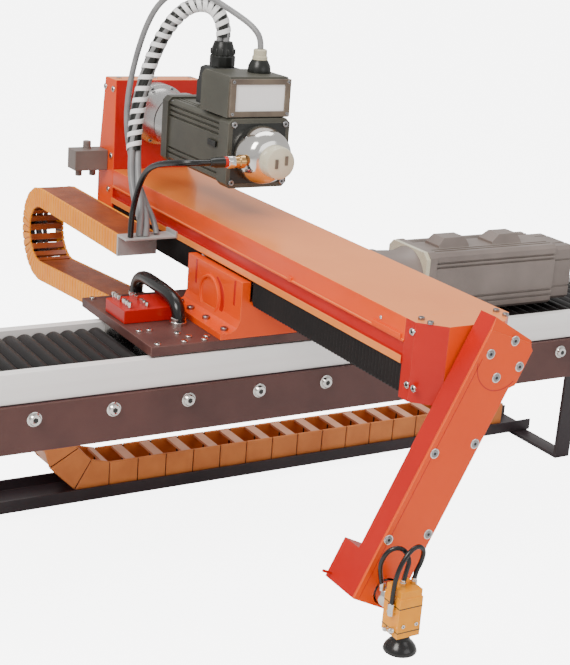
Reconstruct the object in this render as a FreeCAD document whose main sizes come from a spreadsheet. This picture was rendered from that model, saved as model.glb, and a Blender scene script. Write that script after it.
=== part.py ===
"""Two-axis rack and pinion handling unit: a beam, a carriage, a reaching arm and a swinging gripper arm.

Frame: +X along the beam, +Y away from the gripper, +Z up. The origin is on the underside of the beam,
at its middle. Every size is in millimetres.
"""
import FreeCAD, Part
import Sketcher
import math
import os
from FreeCAD import Placement, Rotation, Vector

doc = FreeCAD.newDocument("rack_and_pinion_unit")

# ---------------------------------------------------------------- driving dimensions
SIZES = {
    # beam, running along X
    "beam_length": 1200, "beam_depth": 168, "beam_height": 60, "beam_wall": 9, "way_top": 98,
    "way_thick": 14, "cap_thick": 12, "front_plate_thick": 6, "screw_pitch": 100, "screw_level": 41.5,
    "foot_pitch_x": 1000, "foot_pitch_y": 100, "foot_hole": 6.5, "end_hole": 5.5,
    "x_rail_gap": 90, "x_rail_width": 20, "x_rail_height": 20,
    # racks and pinions
    "x_module": 3, "x_teeth": 20, "y_module": 2.5, "y_teeth": 20, "gear_width": 24, "shaft_radius": 10,
    "fit": 0.05, "gap": 0.3,
    # carriage
    "plate_left": -262, "plate_right": 20, "plate_bottom": 100, "plate_top": 112, "plate_rear": 134,
    "tongue_rear": 184, "x_pinion_at": 0, "x_pinion_reach": 133,
    # saddle that carries the arm
    "saddle_left": -142, "saddle_right": 4, "saddle_front": -84, "saddle_rear": 65, "saddle_seat": 158,
    "saddle_top": 184, "foot_spread": 26, "foot_top": 120, "y_pinion_at": 0, "drive_radius": 46,
    # arm, running along Y
    "arm_left": -130, "arm_right": -8, "arm_bottom": 187, "arm_top": 237, "arm_front": -410,
    "arm_rear": 346, "block_front": -452, "block_bottom": 150, "block_chamfer": 25, "arm_wall": 5,
    "y_rail_gap": 80, "y_rail_width": 15, "y_rail_height": 13, "y_rack_height": 20,
    "housing_rear": 402, "housing_top": 368, "housing_right": 10, "lean": 16,
    # swing drive
    "motor_x": -69, "motor_z": 321.5, "motor_size": 90, "motor_front": 28, "motor_back": 223,
    "pivot_x": -53, "pivot_z": 207, "swing": 26.6, "swing_shaft_radius": 9,
    # lower arm, in its own frame with the pivot at the origin and the arm hanging along -Z
    "lower_front": -483, "lower_back": -455, "lower_left": -35.5, "lower_right": 23, "head_right": 29,
    "lower_reach": 270, "lower_tail": 288, "wrist_box": 27, "skin": 3,
    # energy chains: link height, width, radius of the link centres in the bend
    "x_chain_height": 50, "x_chain_width": 60, "x_chain_radius": 82, "x_chain_level": -184,
    "x_chain_front": 190, "x_chain_bend_at": -187, "x_tow_at": -30,
    "y_chain_height": 30, "y_chain_width": 58, "y_chain_radius": 57, "y_chain_level": 63, "y_chain_end": 87,
    "y_chain_left": -208, "y_chain_bend_at": 440, "y_tow_at": 150, "chain_wall": 4,
    "bellows_pitch": 28, "fine_pitch": 10,
}


class Dim:
    """A size that knows both its value and the spreadsheet expression it comes from."""

    def __init__(self, value, text):
        self.value = value
        self.text = text

    def __add__(self, other):
        other = dim(other)
        return Dim(self.value + other.value, f"({self.text} + {other.text})")

    def __sub__(self, other):
        other = dim(other)
        return Dim(self.value - other.value, f"({self.text} - {other.text})")

    def __mul__(self, other):
        other = dim(other)
        return Dim(self.value * other.value, f"({self.text} * {other.text})")

    def __truediv__(self, other):
        other = dim(other)
        return Dim(self.value / other.value, f"({self.text} / {other.text})")

    def __radd__(self, other):
        return dim(other) + self

    def __rsub__(self, other):
        return dim(other) - self

    def __rmul__(self, other):
        return dim(other) * self

    def __neg__(self):
        return dim(0) - self


def dim(size):
    """A plain number or a Dim, as a Dim."""
    if isinstance(size, Dim):
        return size
    return Dim(float(size), f"({float(size)})")


class Sizes:
    """One Dim for each alias of the spreadsheet."""


sheet = doc.addObject("Spreadsheet::Sheet", "Sizes")
for row, (alias, value) in enumerate(SIZES.items(), start=1):
    sheet.set(f"A{row}", alias)
    sheet.set(f"B{row}", str(value))
    sheet.setAlias(f"B{row}", alias)
    setattr(Sizes, alias, Dim(float(value), f"Sizes.{alias}"))
doc.recompute()
S = Sizes
PARTS = []


# ---------------------------------------------------------------- building blocks
def place(item, x=0, y=0, z=0):
    """Bind an object's position to the sheet."""
    for axis, size in zip("xyz", (x, y, z)):
        item.setExpression(f"Placement.Base.{axis}", dim(size).text)
    return item


def box(x, y, z):
    """A block from three (low, high) pairs."""
    item = doc.addObject("Part::Box", "Block")
    for side, (low, high) in zip(("Length", "Width", "Height"), (x, y, z)):
        item.setExpression(side, (dim(high) - low).text)
    return place(item, x[0], y[0], z[0])


TURN = {"X": Rotation(Vector(0, 1, 0), 90), "Y": Rotation(Vector(1, 0, 0), -90), "Z": Rotation()}


def rod(axis, centre, span, radius, tip=None):
    """A cylinder, or a cone where tip is its far radius, along an axis from span[0] to span[1]."""
    kind = "Part::Cylinder" if tip is None else "Part::Cone"
    item = doc.addObject(kind, "Rod")
    item.Placement = Placement(Vector(), TURN[axis])
    item.setExpression("Radius" if tip is None else "Radius1", dim(radius).text)
    if tip is not None:
        item.setExpression("Radius2", dim(tip).text)
    item.setExpression("Height", (dim(span[1]) - span[0]).text)
    spot = list(centre)
    spot.insert("XYZ".index(axis), span[0])
    return place(item, *spot)


def fuse(*pieces):
    item = doc.addObject("Part::MultiFuse", "Joined")
    item.Shapes = list(pieces)
    return item


def cut(base, *tools):
    item = doc.addObject("Part::Cut", "Trimmed")
    item.Base = base
    item.Tool = tools[0] if len(tools) == 1 else fuse(*tools)
    return item


def group(*pieces):
    """Separate solids that share a node."""
    item = doc.addObject("Part::Compound", "Set")
    item.Links = list(pieces)
    return item


PLANES = {"XY": "XY_Plane", "XZ": "XZ_Plane", "YZ": "YZ_Plane"}


def prism(plane, outline, span, holes=()):
    """A body whose sketch is a closed outline with holes, padded between two levels across the plane."""
    body = doc.addObject("PartDesign::Body", "Body")
    sketch = body.newObject("Sketcher::SketchObject", "Profile")
    home = [p for p in body.Origin.OriginFeatures if p.Role == PLANES[plane]][0]
    sketch.AttachmentSupport = [(home, "")]
    sketch.MapMode = "FlatFace"
    for points in (outline, *holes):
        draw_loop(sketch, [(dim(a), dim(b)) for a, b in points])
    pad = body.newObject("PartDesign::Pad", "Pad")
    pad.Profile = sketch
    pad.setExpression("Length", (dim(span[1]) - span[0]).text)
    sketch.Visibility = False
    level = {"XY": (0, 0, span[0]), "XZ": (0, span[1], 0), "YZ": (span[0], 0, 0)}[plane]
    return place(body, *level)


def draw_loop(sketch, points):
    """A closed polygon whose every corner is held by two dimensions bound to the sheet."""
    first = sketch.GeometryCount
    count = len(points)
    corners = [Vector(a.value, b.value, 0) for a, b in points]
    for i in range(count):
        sketch.addGeometry(Part.LineSegment(corners[i], corners[(i + 1) % count]), False)
    for i in range(count):
        after = first + (i + 1) % count
        sketch.addConstraint(Sketcher.Constraint("Coincident", first + i, 2, after, 1))
    for i, (a, b) in enumerate(points):
        for kind, size in (("DistanceX", a), ("DistanceY", b)):
            rule = Sketcher.Constraint(kind, -1, 1, first + i, 1, size.value)
            index = sketch.addConstraint(rule)
            sketch.setExpression(f"Constraints[{index}]", size.text)


def solid(shape, name="Solid"):
    """An object whose shape is computed by this script."""
    item = doc.addObject("Part::Feature", name)
    item.Shape = shape
    return item


def node(name, item):
    """Name a finished sub-part."""
    item.Label = name
    PARTS.append(item)
    return item


def swung(item):
    """Turn an object of the lower arm's frame to its rest angle about the swing shaft."""
    held = doc.addObject("Part::Compound", "Swung")
    held.Links = [item]
    held.Placement = Placement(Vector(), Rotation(Vector(0, 1, 0), S.swing.value))
    held.setExpression("Placement.Rotation.Angle", S.swing.text)
    return place(held, S.pivot_x, 0, S.pivot_z)


# ---------------------------------------------------------------- gear teeth
PRESSURE = math.radians(20)


def rack_outline(module, start, end, centre, back):
    """Points of a rack profile: along, and height above the pitch line; one tooth sits at centre."""
    pitch = math.pi * module
    slope = math.tan(PRESSURE)
    half = pitch / 4 - 0.04 * module
    points = [(start, -back), (start, -1.25 * module)]
    first = math.ceil((start - centre) / pitch + 0.5)
    last = math.floor((end - centre) / pitch - 0.5)
    for k in range(first, last + 1):
        at = centre + k * pitch
        foot = half + 1.25 * module * slope
        tip = half - module * slope
        points += [(at - foot, -1.25 * module), (at - tip, module)]
        points += [(at + tip, module), (at + foot, -1.25 * module)]
    return points + [(end, -1.25 * module), (end, -back)]


def pinion_outline(module, teeth, facing):
    """Points of an involute pinion, with a tooth gap at the angle it faces the rack with."""
    pitch_radius = module * teeth / 2
    base = pitch_radius * math.cos(PRESSURE)
    tip = pitch_radius + module
    root = pitch_radius - 1.25 * module
    half_pitch = math.pi / (2 * teeth) - 0.04 / teeth
    inv_pitch = math.tan(PRESSURE) - PRESSURE
    flank = []
    for step in range(6):
        radius = base + (tip - base) * step / 5
        roll = math.acos(base / radius)
        flank.append((radius, half_pitch + inv_pitch - (math.tan(roll) - roll)))
    points = []
    for k in range(teeth):
        middle = facing + 2 * math.pi * (k + 0.5) / teeth
        side = [(root, flank[0][1])] + flank
        low = [(r, middle - a) for r, a in side]
        high = [(r, middle + a) for r, a in reversed(side)]
        points += [(r * math.cos(a), r * math.sin(a)) for r, a in low + high]
    return points


def extrude(points, to_world, direction):
    """Close the points into a face and extrude it."""
    corners = [to_world(a, b) for a, b in points]
    face = Part.Face(Part.makePolygon(corners + corners[:1]))
    return face.extrude(direction)


# ---------------------------------------------------------------- beam
half_length = S.beam_length / 2
half_depth = S.beam_depth / 2
inner_end = half_length - S.cap_thick


def beam_profile():
    cell = half_depth - S.beam_wall
    web = S.beam_wall / 2
    low, high = S.beam_wall, S.beam_height - S.beam_wall
    outline = [(-half_depth, 0), (half_depth, 0), (half_depth, S.beam_height), (-half_depth, S.beam_height)]
    cells = [[(-cell, low), (-web, low), (-web, high), (-cell, high)],
             [(web, low), (cell, low), (cell, high), (web, high)]]
    bar = prism("YZ", outline, (-inner_end, inner_end), cells)
    holes = [rod("Z", (S.foot_pitch_x / 2 * i, S.foot_pitch_y / 2 * j), (-1, low + 1), S.foot_hole)
             for i in (-1, 1) for j in (-1, 1)]
    return cut(bar, *holes)


def guideways():
    strips = [box((-inner_end, inner_end), (y, y + S.way_thick), (S.beam_height, S.way_top))
              for y in (-half_depth, half_depth - S.way_thick)]
    return group(*strips)


def front_plate():
    front = -half_depth - S.front_plate_thick
    return box((-inner_end, inner_end), (front, -half_depth), (0, S.beam_height - 1))


def plate_screws():
    """Socket head screws along the front plate, each with a hexagon socket."""
    front = -half_depth - S.front_plate_thick
    heads = []
    for k in range(-5, 6):
        x = S.screw_pitch * k - 11
        head = rod("Y", (x, S.screw_level), (front - 5.5, front), 7.4)
        socket = rod("Y", (x, S.screw_level), (front - 6, front - 2.5), 3.6)
        heads.append(cut(head, socket))
    return group(*heads)


def x_guide_rails():
    rails = []
    for side in (-1, 1):
        y = S.x_rail_gap / 2 * side
        half = S.x_rail_width / 2
        top = S.beam_height + S.x_rail_height
        rails.append(box((-inner_end, inner_end), (y - half, y + half), (S.beam_height, top)))
    return group(*rails)


def x_rack():
    """Rack on the rear guideway; its teeth point along +Y."""
    module = S.x_module.value
    line = S.x_pinion_reach.value - module * S.x_teeth.value / 2
    back = line - half_depth.value
    end = inner_end.value - 4
    bottom = S.beam_height.value + 4
    points = rack_outline(module, -end, end, S.x_pinion_at.value, back)
    shape = extrude(points, lambda a, b: Vector(a, line + b, bottom), Vector(0, 0, S.gear_width.value))
    return solid(shape)


def end_plates():
    plates = []
    for side in (-1, 1):
        low, high = (inner_end, half_length) if side > 0 else (-half_length, -inner_end)
        plate = box((low, high), (-half_depth - 6, half_depth), (0, S.way_top))
        holes = [rod("X", (y, z), (low - 1, high + 1), S.end_hole) for y in (-60, 60) for z in (14, 84)]
        plates.append(cut(plate, *holes))
    return group(*plates)


def chain_tray():
    """Trough under the long chain, and the two brackets that hang it from the beam."""
    floor = S.x_chain_level - S.x_chain_height / 2
    front = S.x_chain_front - 6
    rear = S.x_chain_front + S.x_chain_width + 6
    outline = [(front, floor - 3), (rear, floor - 3), (rear, floor + 16), (rear - 3, floor + 16),
               (rear - 3, floor), (front + 3, floor), (front + 3, floor + 16), (front, floor + 16)]
    trough = prism("YZ", outline, (-half_length, half_length))
    brackets = []
    for side in (-1, 1):
        x = half_length * side - 20 * side
        wide = (x - 15, x + 15)
        profile = [(20, -6), (20, 0), (half_depth - 4, 0), (half_depth - 4, floor - 3), (rear, floor - 3),
                   (rear, floor - 9), (half_depth - 10, floor - 9), (half_depth - 10, -6)]
        brackets.append(prism("YZ", profile, wide))
    return group(trough, *brackets)


# ---------------------------------------------------------------- folding covers
def pleats(low, high, pitch, depth):
    """Offsets of a folded skin: (position, outward step) pairs from low to high."""
    count = max(2, round((high - low) / pitch))
    step = (high - low) / count
    points = [(low, 0.0)]
    for k in range(count):
        points.append((low + step * (k + 0.5), depth))
        points.append((low + step * (k + 1), 0.0))
    return points


def x_bellows(low, high):
    """Roof of folds over the guide rails, closed along both guideways."""
    top = S.way_top.value - 5
    wall = 3
    reach = half_depth.value - S.way_thick.value - 1
    folds = pleats(low, high, S.bellows_pitch.value, 5)
    upper = [(x, top + rise) for x, rise in folds]
    lower = [(x, top + rise - wall) for x, rise in reversed(folds)]
    roof = extrude(upper + lower, lambda a, b: Vector(a, -reach, b), Vector(0, 2 * reach, 0))
    base = S.beam_height.value
    sides = [Part.makeBox(high - low, 2, top - 1 - base, Vector(low, y, base)) for y in (-reach, reach - 2)]
    return solid(roof.fuse(sides).removeSplitter())


def y_bellows(low, high):
    """Folded trough under the arm, open to the arm above."""
    left = S.arm_left.value + 4
    right = S.arm_right.value - 4
    bottom = S.block_bottom.value + 3
    top = S.arm_bottom.value - 0.5
    folds = pleats(low, high, S.fine_pitch.value, 2.5)
    outer = [(y, rise) for y, rise in folds]
    inner = [(y, rise - 2) for y, rise in reversed(folds)]
    ring = outer + inner
    floor = extrude(ring, lambda a, b: Vector(left, a, bottom - b), Vector(right - left, 0, 0))
    lift = Vector(0, 0, top - bottom)
    west = extrude(ring, lambda a, b: Vector(left - b, a, bottom), lift)
    east = extrude(ring, lambda a, b: Vector(right + b, a, bottom), lift)
    return solid(floor.fuse([west, east]).removeSplitter())


# ---------------------------------------------------------------- energy chains
def chain_run(along, low, high, levels, thick, near, wide):
    """Straight stretch of chain as a flat tube; its level may differ at its two ends."""
    wall = S.chain_wall.value
    slope = (levels[1] - levels[0]) / (high - low)

    def bar(start, end, half, across):
        corners = [(a, levels[0] + slope * (a - low) + side * half) for a, side in
                   ((start, -1), (end, -1), (end, 1), (start, 1))]
        if along == "X":
            return extrude(corners, lambda a, b: Vector(a, across[0], b), Vector(0, across[1] - across[0], 0))
        return extrude(corners, lambda a, b: Vector(across[0], a, b), Vector(across[1] - across[0], 0, 0))

    outer = bar(low, high, thick / 2, (near, near + wide))
    return outer.cut(bar(low - 1, high + 1, thick / 2 - wall, (near + wall, near + wide - wall)))


def chain_bend(along, centre, radius, level, thick, near, wide):
    """Half turn of chain between two runs, bulging to -X or to +Y."""
    wall = S.chain_wall.value
    axis = Vector(0, 1, 0) if along == "X" else Vector(1, 0, 0)
    spot = Vector(centre, near, level) if along == "X" else Vector(near, centre, level)

    def ring(outer, inner, start, length):
        base = spot + axis * start
        tube = Part.makeCylinder(outer, length, base, axis)
        return tube.cut(Part.makeCylinder(inner, length, base, axis))

    outside, inside = radius + thick / 2, radius - thick / 2
    band = ring(outside, inside, 0, wide)
    band = band.cut(ring(outside - wall, inside + wall, wall, wide - 2 * wall))
    size = 2 * outside + 4
    if along == "X":
        keep = Part.makeBox(size / 2, wide + 2, size, Vector(centre - size / 2, near - 1, level - size / 2))
    else:
        keep = Part.makeBox(wide + 2, size / 2, size, Vector(near - 1, centre, level - size / 2))
    return band.common(keep)


def x_chain():
    bend_at = S.x_chain_bend_at.value
    low = S.x_chain_level.value
    radius = S.x_chain_radius.value
    shared = (S.x_chain_height.value, S.x_chain_front.value, S.x_chain_width.value)
    high = low + 2 * radius
    lower = chain_run("X", bend_at, half_length.value - 60, (low, low), *shared)
    upper = chain_run("X", bend_at, S.x_tow_at.value, (high, high), *shared)
    bend = chain_bend("X", bend_at, radius, low + radius, *shared)
    return solid(lower), solid(bend), solid(upper)


def y_chain():
    bend_at = S.y_chain_bend_at.value
    low = S.y_chain_level.value
    radius = S.y_chain_radius.value
    shared = (S.y_chain_height.value, S.y_chain_left.value, S.y_chain_width.value)
    high = low + 2 * radius
    lower = chain_run("Y", S.plate_rear.value + 4, bend_at, (S.y_chain_end.value, low), *shared)
    upper = chain_run("Y", S.y_tow_at.value, bend_at, (high, high), *shared)
    bend = chain_bend("Y", bend_at, radius, low + radius, *shared)
    return solid(lower), solid(bend), solid(upper)


# ---------------------------------------------------------------- carriage
def guide_block(along, x, y, low, high, length, width, rail_width, rail_to, down):
    """Runner block with a slot for its rail; the slot opens down or up."""
    half, slot = width / 2, rail_width / 2 + S.gap
    if along == "X":
        body = box((x - length / 2, x + length / 2), (y - half, y + half), (low, high))
        side = ((x - length / 2 - 1, x + length / 2 + 1), (y - slot, y + slot))
    else:
        body = box((x - half, x + half), (y - length / 2, y + length / 2), (low, high))
        side = ((x - slot, x + slot), (y - length / 2 - 1, y + length / 2 + 1))
    levels = (low - 1, rail_to + S.gap) if down else (rail_to - S.gap, high + 1)
    return cut(body, box(*side, levels))


def x_guide_blocks():
    top = S.beam_height + S.x_rail_height
    spots = [(x, S.x_rail_gap / 2 * side) for x in (-222, -26) for side in (-1, 1)]
    return group(*[guide_block("X", dim(x), y, S.beam_height + 6, S.plate_bottom, dim(70), dim(44),
                               S.x_rail_width, top, True) for x, y in spots])


def carriage_plate():
    outline = [(S.plate_left, -half_depth), (S.plate_right, -half_depth), (S.plate_right, S.plate_rear - 40),
               (60, S.plate_rear - 40), (60, S.tongue_rear), (-60, S.tongue_rear), (-60, S.plate_rear),
               (S.plate_left, S.plate_rear)]
    return prism("XY", outline, (S.plate_bottom, S.plate_top))


def chain_tow_bracket():
    """Hanging plate that carries the X gear drive and pulls the long chain."""
    upper = S.x_chain_level + 2 * S.x_chain_radius
    thick = S.x_chain_height / 2
    rear = S.tongue_rear
    hanger = box((-60, 60), (rear - 8, rear), (upper - thick, S.plate_bottom))
    tow = box((S.x_tow_at, S.x_tow_at + 8), (rear, S.x_chain_front + S.x_chain_width),
              (upper - thick, upper + thick))
    return fuse(hanger, tow)


def saddle():
    """Casting with flared feet: a base, two cheeks beside the arm, and a pocket for the pinion."""
    left, right = S.saddle_left, S.saddle_right
    rise = S.foot_top
    outline = [(left - S.foot_spread, S.plate_top), (right, S.plate_top), (right, S.saddle_top),
               (right - 12, S.saddle_top), (right - 12, S.saddle_seat), (left + 12, S.saddle_seat),
               (left + 12, S.saddle_top), (left, S.saddle_top), (left, rise + 14), (left - 4, rise + 5),
               (left - 12, rise), (left - S.foot_spread, rise)]
    body = prism("XZ", outline, (S.saddle_front, S.saddle_rear))
    y = S.y_pinion_at
    z = pinion_level()
    middle = (S.arm_left + S.arm_right) / 2
    pocket = box((middle - 17, middle + 17), (y - 34, y + 34), (S.plate_top - 1, S.saddle_seat + 1))
    tunnel = rod("X", (y, z), (left - 1, right + 1), S.shaft_radius + 3)
    seats = [rod("X", (y, z), (left - 1, left + 16), 21), rod("X", (y, z), (right - 14, right + 1), 21)]
    recess = rod("X", (y, z), (left - 1, left + 5), 25)
    return cut(body, pocket, tunnel, recess, *seats)


def pinion_level():
    """Height of the arm pinion's axis: one pitch radius below the rack's pitch line."""
    tip = S.arm_bottom - S.y_rack_height
    return tip + S.y_module - S.y_module * S.y_teeth / 2


def pinion_bearings():
    """The two bearings of the arm pinion and the cap that closes the left one."""
    y, z = S.y_pinion_at, pinion_level()
    rings = []
    for low in (S.saddle_left + 5, S.saddle_right - 13):
        ring = rod("X", (y, z), (low, low + 10), 21)
        rings.append(cut(ring, rod("X", (y, z), (low - 1, low + 11), S.shaft_radius + S.fit)))
    cap = rod("X", (y, z), (S.saddle_left + 1, S.saddle_left + 5), 24.8)
    return group(*rings, cap)


def y_guide_blocks():
    middle = (S.arm_left + S.arm_right) / 2
    bottom = S.arm_bottom - S.y_rail_height
    spots = [(middle + S.y_rail_gap / 2 * side, dim(y)) for side in (-1, 1) for y in (-50, 32)]
    return group(*[guide_block("Y", x, y, S.saddle_seat, S.arm_bottom - 4, dim(56), dim(32),
                               S.y_rail_width, bottom, False) for x, y in spots])


def x_gearmotor():
    """Right-angle gear unit below the X pinion, with its motor lying along the beam."""
    x, y = S.x_pinion_at, S.x_pinion_reach
    top = S.beam_height - 2
    case = box((x - 42, x + 42), (y - 42, y + 42), (top - 78, top))
    bore = rod("Z", (x, y), (top - 32, top + 1), S.shaft_radius + S.fit)
    motor = rod("X", (y, top - 39), (x + 42, x + 200), 36)
    return fuse(cut(case, bore), motor)


def x_pinion():
    module, teeth = S.x_module.value, int(S.x_teeth.value)
    low = S.beam_height.value + 4
    x, y = S.x_pinion_at.value, S.x_pinion_reach.value
    points = pinion_outline(module, teeth, -math.pi / 2)
    gear = extrude(points, lambda a, b: Vector(x + a, y + b, low), Vector(0, 0, S.gear_width.value))
    length = low + S.gear_width.value + 4 - 30
    shaft = Part.makeCylinder(S.shaft_radius.value, length, Vector(x, y, 30))
    return solid(gear.fuse(shaft).removeSplitter())


def y_pinion():
    module, teeth = S.y_module.value, int(S.y_teeth.value)
    middle = (S.arm_left.value + S.arm_right.value) / 2
    y, z = S.y_pinion_at.value, pinion_level().value
    wide = S.gear_width.value
    points = pinion_outline(module, teeth, math.pi / 2)
    gear = extrude(points, lambda a, b: Vector(middle - wide / 2, y + a, z + b), Vector(wide, 0, 0))
    start = S.saddle_left.value + 6
    shaft = Part.makeCylinder(S.shaft_radius.value, S.saddle_right.value + 24 - start,
                              Vector(start, y, z), Vector(1, 0, 0))
    return solid(gear.fuse(shaft).removeSplitter())


def y_gearbox():
    """Planetary gearbox: neck, ringed barrel and square flange."""
    centre = (S.y_pinion_at, pinion_level())
    right = S.saddle_right
    barrel = fuse(rod("X", centre, (right, right + 34), 30),
                  rod("X", centre, (right + 34, right + 70), 42),
                  rod("X", centre, (right + 70, right + 110), 44),
                  rod("X", centre, (right + 110, right + 162), 40))
    y, z = centre
    flange = box((right + 162, right + 180), (y - 46, y + 46), (z - 46, z + 46))
    return cut(fuse(barrel, flange), rod("X", centre, (right - 1, right + 26), S.shaft_radius + S.fit))


def y_motor():
    """Square servo motor on the gearbox, and the two connectors on its back."""
    y, z = S.y_pinion_at, pinion_level()
    start = S.saddle_right + 180
    body = box((start, start + 214), (y - 44, y + 44), (z - 44, z + 44))
    rear = box((start + 214, start + 250), (y - 40, y + 40), (z - 40, z + 40))
    plugs = [box((start + a, start + b), (y - 16, y + 16), (z + 44, z + 58)) for a, b in ((26, 66), (120, 168))]
    return fuse(body, rear, *plugs)


def cable_block():
    """Raised red junction block on the carriage plate."""
    outline = [(-256, 10), (-186, 10), (-178, 24), (-178, 70), (-256, 70)]
    return prism("XY", outline, (S.plate_top, S.plate_top + 18))


# ---------------------------------------------------------------- arm
def arm_housing():
    """Base rail of the arm: a channel with a flange strip along each lower edge."""
    left, right, low = S.arm_left, S.arm_right, S.arm_bottom
    rise = low + 23
    wall = S.arm_wall
    outline = [(left - 2, low), (right + 2, low), (right + 2, low + 9), (right - 3, low + 9), (right - 3, rise),
               (right - 3 - wall, rise), (right - 3 - wall, low + wall), (left + 3 + wall, low + wall),
               (left + 3 + wall, rise), (left + 3, rise), (left + 3, low + 9), (left - 2, low + 9)]
    return prism("XZ", outline, (S.arm_front, S.arm_rear))


def arm_cover():
    """Sheet hood over the arm, open below, with a narrow lip along each side."""
    left, right, top = S.arm_left, S.arm_right, S.arm_top
    low = S.arm_bottom + 23.5
    skin = S.skin
    outline = [(left - 1.5, low), (left + skin, low), (left + skin, top - skin), (right - skin, top - skin),
               (right - skin, low), (right + 1.5, low), (right + 1.5, low + 2.5), (right, low + 2.5),
               (right, top), (left, top), (left, low + 2.5), (left - 1.5, low + 2.5)]
    return prism("XZ", outline, (S.arm_front, S.arm_rear))


def y_rails():
    middle = (S.arm_left + S.arm_right) / 2
    half = S.y_rail_width / 2
    rails = []
    for side in (-1, 1):
        x = middle + S.y_rail_gap / 2 * side
        rails.append(box((x - half, x + half), (S.arm_front, S.arm_rear),
                         (S.arm_bottom - S.y_rail_height, S.arm_bottom)))
    return group(*rails)


def y_rack():
    """Rack under the arm; its teeth point down."""
    module = S.y_module.value
    wide = S.gear_width.value
    line = S.arm_bottom.value - S.y_rack_height.value + module
    back = S.y_rack_height.value - module
    middle = (S.arm_left.value + S.arm_right.value) / 2
    low, high = S.arm_front.value + 4, S.arm_rear.value - 4
    points = rack_outline(module, low, high, S.y_pinion_at.value, back)
    shape = extrude(points, lambda a, b: Vector(middle - wide / 2, a, line - b), Vector(wide, 0, 0))
    return solid(shape)


def front_block():
    """Cast head of the arm with two chamfered front corners and the bore of the swing shaft."""
    left, right, chamfer = S.arm_left, S.arm_right, S.block_chamfer
    front, back = S.block_front, S.arm_front
    outline = [(left, back), (left, front + chamfer), (left + chamfer, front), (right - chamfer, front),
               (right, front + chamfer), (right, back)]
    body = prism("XY", outline, (S.block_bottom, S.arm_top))
    bore = rod("Y", (S.pivot_x, S.pivot_z), (front - 1, back + 1), 16)
    return cut(body, bore)


def shaft_bearings():
    """Bushes of the swing shaft; the front one ends in the fixed pulley that keeps the gripper upright."""
    centre = (S.pivot_x, S.pivot_z)
    bore = S.swing_shaft_radius + S.fit
    front, back = S.block_front, S.arm_front
    rear = S.arm_rear
    nose = rod("Y", centre, (front - 22, front), 12)
    head = cut(fuse(rod("Y", centre, (front, back), 16), nose), rod("Y", centre, (front - 23, back + 1), bore))
    tail = cut(rod("Y", centre, (rear, rear + 8), 16), rod("Y", centre, (rear - 1, rear + 9), bore))
    return group(head, tail)


def rear_housing():
    """Upright box at the back of the arm that holds the belt drive; its back leans forward at the top."""
    left, right = S.arm_left, S.housing_right
    front, back = S.arm_rear, S.housing_rear
    low, top = S.arm_bottom - 20, S.housing_top
    outline = [(left, low), (right - 18, low), (right - 18, S.arm_top), (right, S.arm_top + 30), (right, top),
               (left, top)]
    shell = prism("XZ", outline, (front, back))
    inside = [(left + 8, low + 8), (right - 26, low + 8), (right - 26, S.arm_top + 4), (right - 8, S.arm_top + 34),
              (right - 8, top - 8), (left + 8, top - 8)]
    hollow = prism("XZ", inside, (front + 8, back - 5))
    shaft = rod("Y", (S.pivot_x, S.pivot_z), (front - 1, front + 9), 16)
    motor = rod("Y", (S.motor_x, S.motor_z), (front - 1, front + 9), 24)
    shell = cut(shell, leaning_slice(back, top))
    return cut(shell, cut(hollow, leaning_slice(back - 5, top)), shaft, motor)


def leaning_slice(back, top):
    """What is cut off a block so that its back face leans forward towards the top."""
    start = S.arm_top + 13
    profile = [(back, start), (back - S.lean, top + 1), (back + 20, top + 1), (back + 20, start)]
    return prism("YZ", profile, (S.arm_left - 1, S.housing_right + 1))


def motor_adaptor():
    """Planetary gear unit between the swing motor and the rear housing."""
    centre = (S.motor_x, S.motor_z)
    y = S.motor_back
    body = fuse(rod("Y", centre, (y, y + 30), 43), rod("Y", centre, (y + 30, y + 100), 38),
                rod("Y", centre, (y + 100, S.arm_rear), 45))
    return cut(body, rod("Y", centre, (y + 60, S.arm_rear + 1), S.shaft_radius + S.fit))


def swing_motor():
    """Servo motor along the arm, with a larger square cover at its front."""
    x, z = S.motor_x, S.motor_z
    half = S.motor_size / 2
    body = box((x - half + 3, x + half - 3), (S.motor_front + 26, S.motor_back), (z - half + 3, z + half - 3))
    cover = box((x - half, x + half), (S.motor_front, S.motor_front + 26), (z - half, z + half))
    return fuse(body, cover)


def terminal_box():
    x, top = S.motor_x, S.motor_z + S.motor_size / 2
    base = box((x - 44, x + 46), (S.motor_front + 6, S.motor_front + 84), (top, top + 52))
    return base


def motor_connectors():
    """Power connector, signal connector on the terminal box, and the encoder's side plug."""
    x, top = S.motor_x, S.motor_z + S.motor_size / 2
    y = S.motor_front
    power = fuse(box((x - 24, x + 24), (y + 88, y + 136), (top, top + 50)),
                 rod("Z", (x, y + 112), (top + 50, top + 66), 16),
                 rod("Z", (x, y + 112), (top + 66, top + 84), 12))
    signal = fuse(rod("Z", (x + 22, y + 50), (top + 52, top + 68), 13),
                  rod("Z", (x + 22, y + 50), (top + 68, top + 82), 9))
    plug = fuse(rod("X", (y - 28, S.motor_z - 4), (x - 62, x - 35.5), 9),
                rod("X", (y - 28, S.motor_z - 4), (x - 84, x - 62), 6.5))
    return group(power, signal, plug)


def encoder_cap():
    centre = (S.motor_x, S.motor_z)
    y = S.motor_front
    return fuse(rod("Y", centre, (y - 42, y), 35), rod("Y", centre, (y - 58, y - 42), 24, 32))


def pneumatic_valve():
    """Small valve block on the left of the rear housing, with two hose tails."""
    left, y = S.arm_left, S.housing_rear
    block = box((left - 52, left), (y - 36, y - 6), (232, 262))
    return fuse(block, rod("Z", (left - 40, y - 21), (222, 232), 5), rod("Z", (left - 18, y - 21), (222, 232), 5),
                rod("Z", (left - 28, y - 21), (262, 274), 6))


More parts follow.
